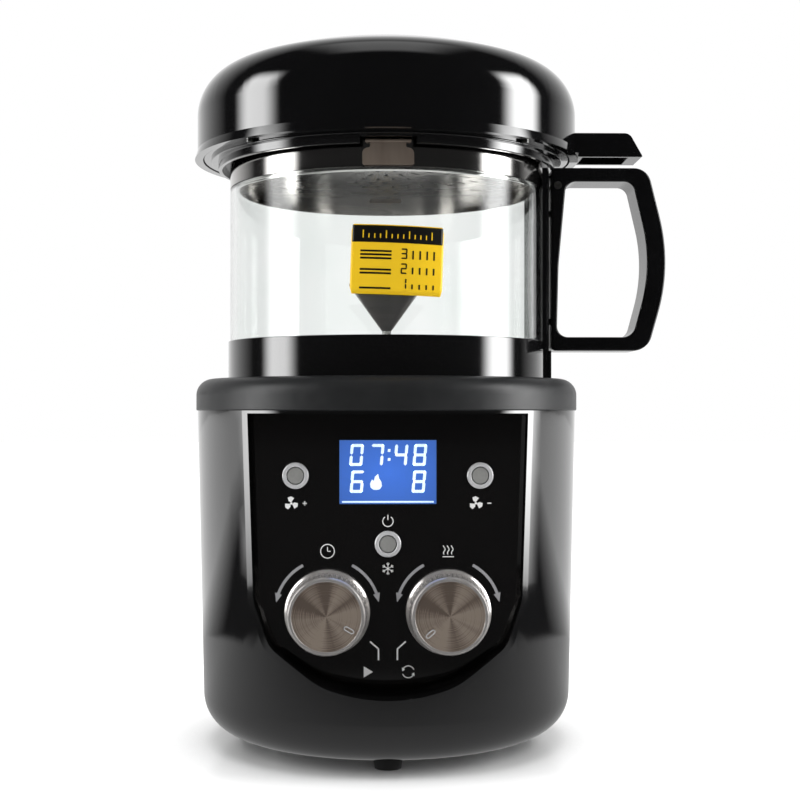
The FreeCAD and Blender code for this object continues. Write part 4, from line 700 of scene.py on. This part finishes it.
def floor_material():
    """White paper sweep. The camera sees it white from a painted glow, and a painted contact shadow, from
    ambient occlusion, darkens it only where the object stands close over it.

    Gloss sees a painted glow, not the lamps' light: a small table, of radius 0.33 m, that fades
    towards the camera, and a bright sweep behind the object: both are ramps of the Object coordinates.
    """
    material, tree = blank("white_paper")
    path = add(tree, "LightPath")
    haze = object_noise(tree, 120)
    rough = add(tree, "MapRange", {"Value": haze.outputs[0], "To Min": 0.2, "To Max": 0.26})
    paper = add(tree, "BsdfPrincipled", {"Base Color": srgb("#E6E6E6"), "Roughness": rough.outputs[0],
                                         "Specular IOR Level": 0.2})
    # Ambient occlusion dims the camera's glow where the object stands close: a painted contact shadow.
    under = add(tree, "AmbientOcclusion", {"Distance": 0.09}, samples=16)
    glow_with_painted_shadow = add(tree, "MapRange", {"Value": under.outputs["AO"], "From Min": 0.4, "From Max": 0.9,
                                      "To Min": 0.0, "To Max": 0.62})
    shown = add(tree, "Math", {0: glow_with_painted_shadow.outputs[0], 1: path.outputs["Is Camera Ray"]},
                operation="MULTIPLY")
    glow = add(tree, "Emission", {"Color": srgb("#FFFFFF"), "Strength": shown.outputs[0]})
    # Paper lit by the lamps, plus the painted glow with its painted shadow.
    lit = add(tree, "AddShader", {0: paper.outputs[0], 1: glow.outputs[0]})
    # What gloss sees: a painted glow, ramps of position in place of the floor's own lighting.
    place = add(tree, "TexCoord")
    split = add(tree, "SeparateXYZ", {0: place.outputs["Object"]})
    reach = add(tree, "VectorMath", {0: place.outputs["Object"]}, operation="LENGTH")
    table = add(tree, "MapRange", {"Value": reach.outputs["Value"], "From Min": 0.33, "From Max": 0.36,
                                   "To Min": 1.0, "To Max": 0.0})
    fade = add(tree, "MapRange", {"Value": split.outputs["Y"], "From Min": -0.3, "From Max": 0.1,
                                  "To Min": 0.02, "To Max": 0.45})
    near = add(tree, "Math", {0: table.outputs[0], 1: fade.outputs[0]}, operation="MULTIPLY")
    behind = add(tree, "MapRange", {"Value": split.outputs["Y"], "From Min": 0.1, "From Max": 0.4,
                                    "To Min": 0.03, "To Max": 0.9})
    mirrored = add(tree, "Math", {0: near.outputs[0], 1: behind.outputs[0]}, operation="MAXIMUM")
    seen = add(tree, "Emission", {"Color": srgb("#FFFFFF"), "Strength": mirrored.outputs[0]})
    close(tree, add(tree, "MixShader", {0: path.outputs["Is Glossy Ray"], 1: lit.outputs[0],
                                        2: seen.outputs[0]}))
    return material


def floor():
    mesh = bpy.data.meshes.new("table_top")
    reach = 6.0
    mesh.from_pydata([(-reach, -reach, 0), (reach, -reach, 0), (reach, reach, 0), (-reach, reach, 0)], [],
                     [(0, 1, 2, 3)])
    mesh.materials.append(floor_material())
    table = bpy.data.objects.new("table_top", mesh)
    bpy.context.scene.collection.objects.link(table)


def studio():
    studio_world()
    floor()
    soft_box("left_softbox", (-0.55, -0.12, 0.33), (0, -0.02, 0.33), (0.36, 0.8), 4.6)
    soft_box("right_softbox", (0.55, -0.09, 0.33), (0, 0.0, 0.33), (0.34, 0.8), 7.5)
    soft_box("top_softbox", (0.0, 0.1, 1.5), (0, 0, 0.2), (1.2, 1.0), 0.5, False)


# Camera, from the fit to the photograph: level, its height, distance and side step from the axis
CAMERA_HEIGHT = 0.151
CAMERA_DISTANCE = 0.660
CAMERA_SIDE = -0.0060
AXIS_PIXEL = 386.6
FOCAL_PIXELS = 1415.7
HORIZON_PIXEL = 410.5
FRAME_PIXELS = 800.0
SENSOR = 36.0


def camera():
    data = bpy.data.cameras.new("photo_camera")
    data.sensor_width = SENSOR
    data.lens = FOCAL_PIXELS / FRAME_PIXELS * SENSOR
    data.shift_y = (HORIZON_PIXEL - FRAME_PIXELS / 2) / FRAME_PIXELS
    data.clip_start = 0.01
    holder = bpy.data.objects.new("photo_camera", data)
    holder.location = (CAMERA_SIDE, -CAMERA_DISTANCE, CAMERA_HEIGHT)
    to_axis = math.atan2(-CAMERA_SIDE, CAMERA_DISTANCE)
    off_axis = math.atan2(FRAME_PIXELS / 2 - AXIS_PIXEL, FOCAL_PIXELS)
    holder.rotation_euler = (math.pi / 2, 0, -(to_axis + off_axis))
    bpy.context.scene.collection.objects.link(holder)
    bpy.context.scene.camera = holder


bpy.context.scene.view_settings.view_transform = "Standard"
camera()
studio()
dress_nodes()
screen_face()
display_figures()
panel_print()
knob_marks()
gauge_film()
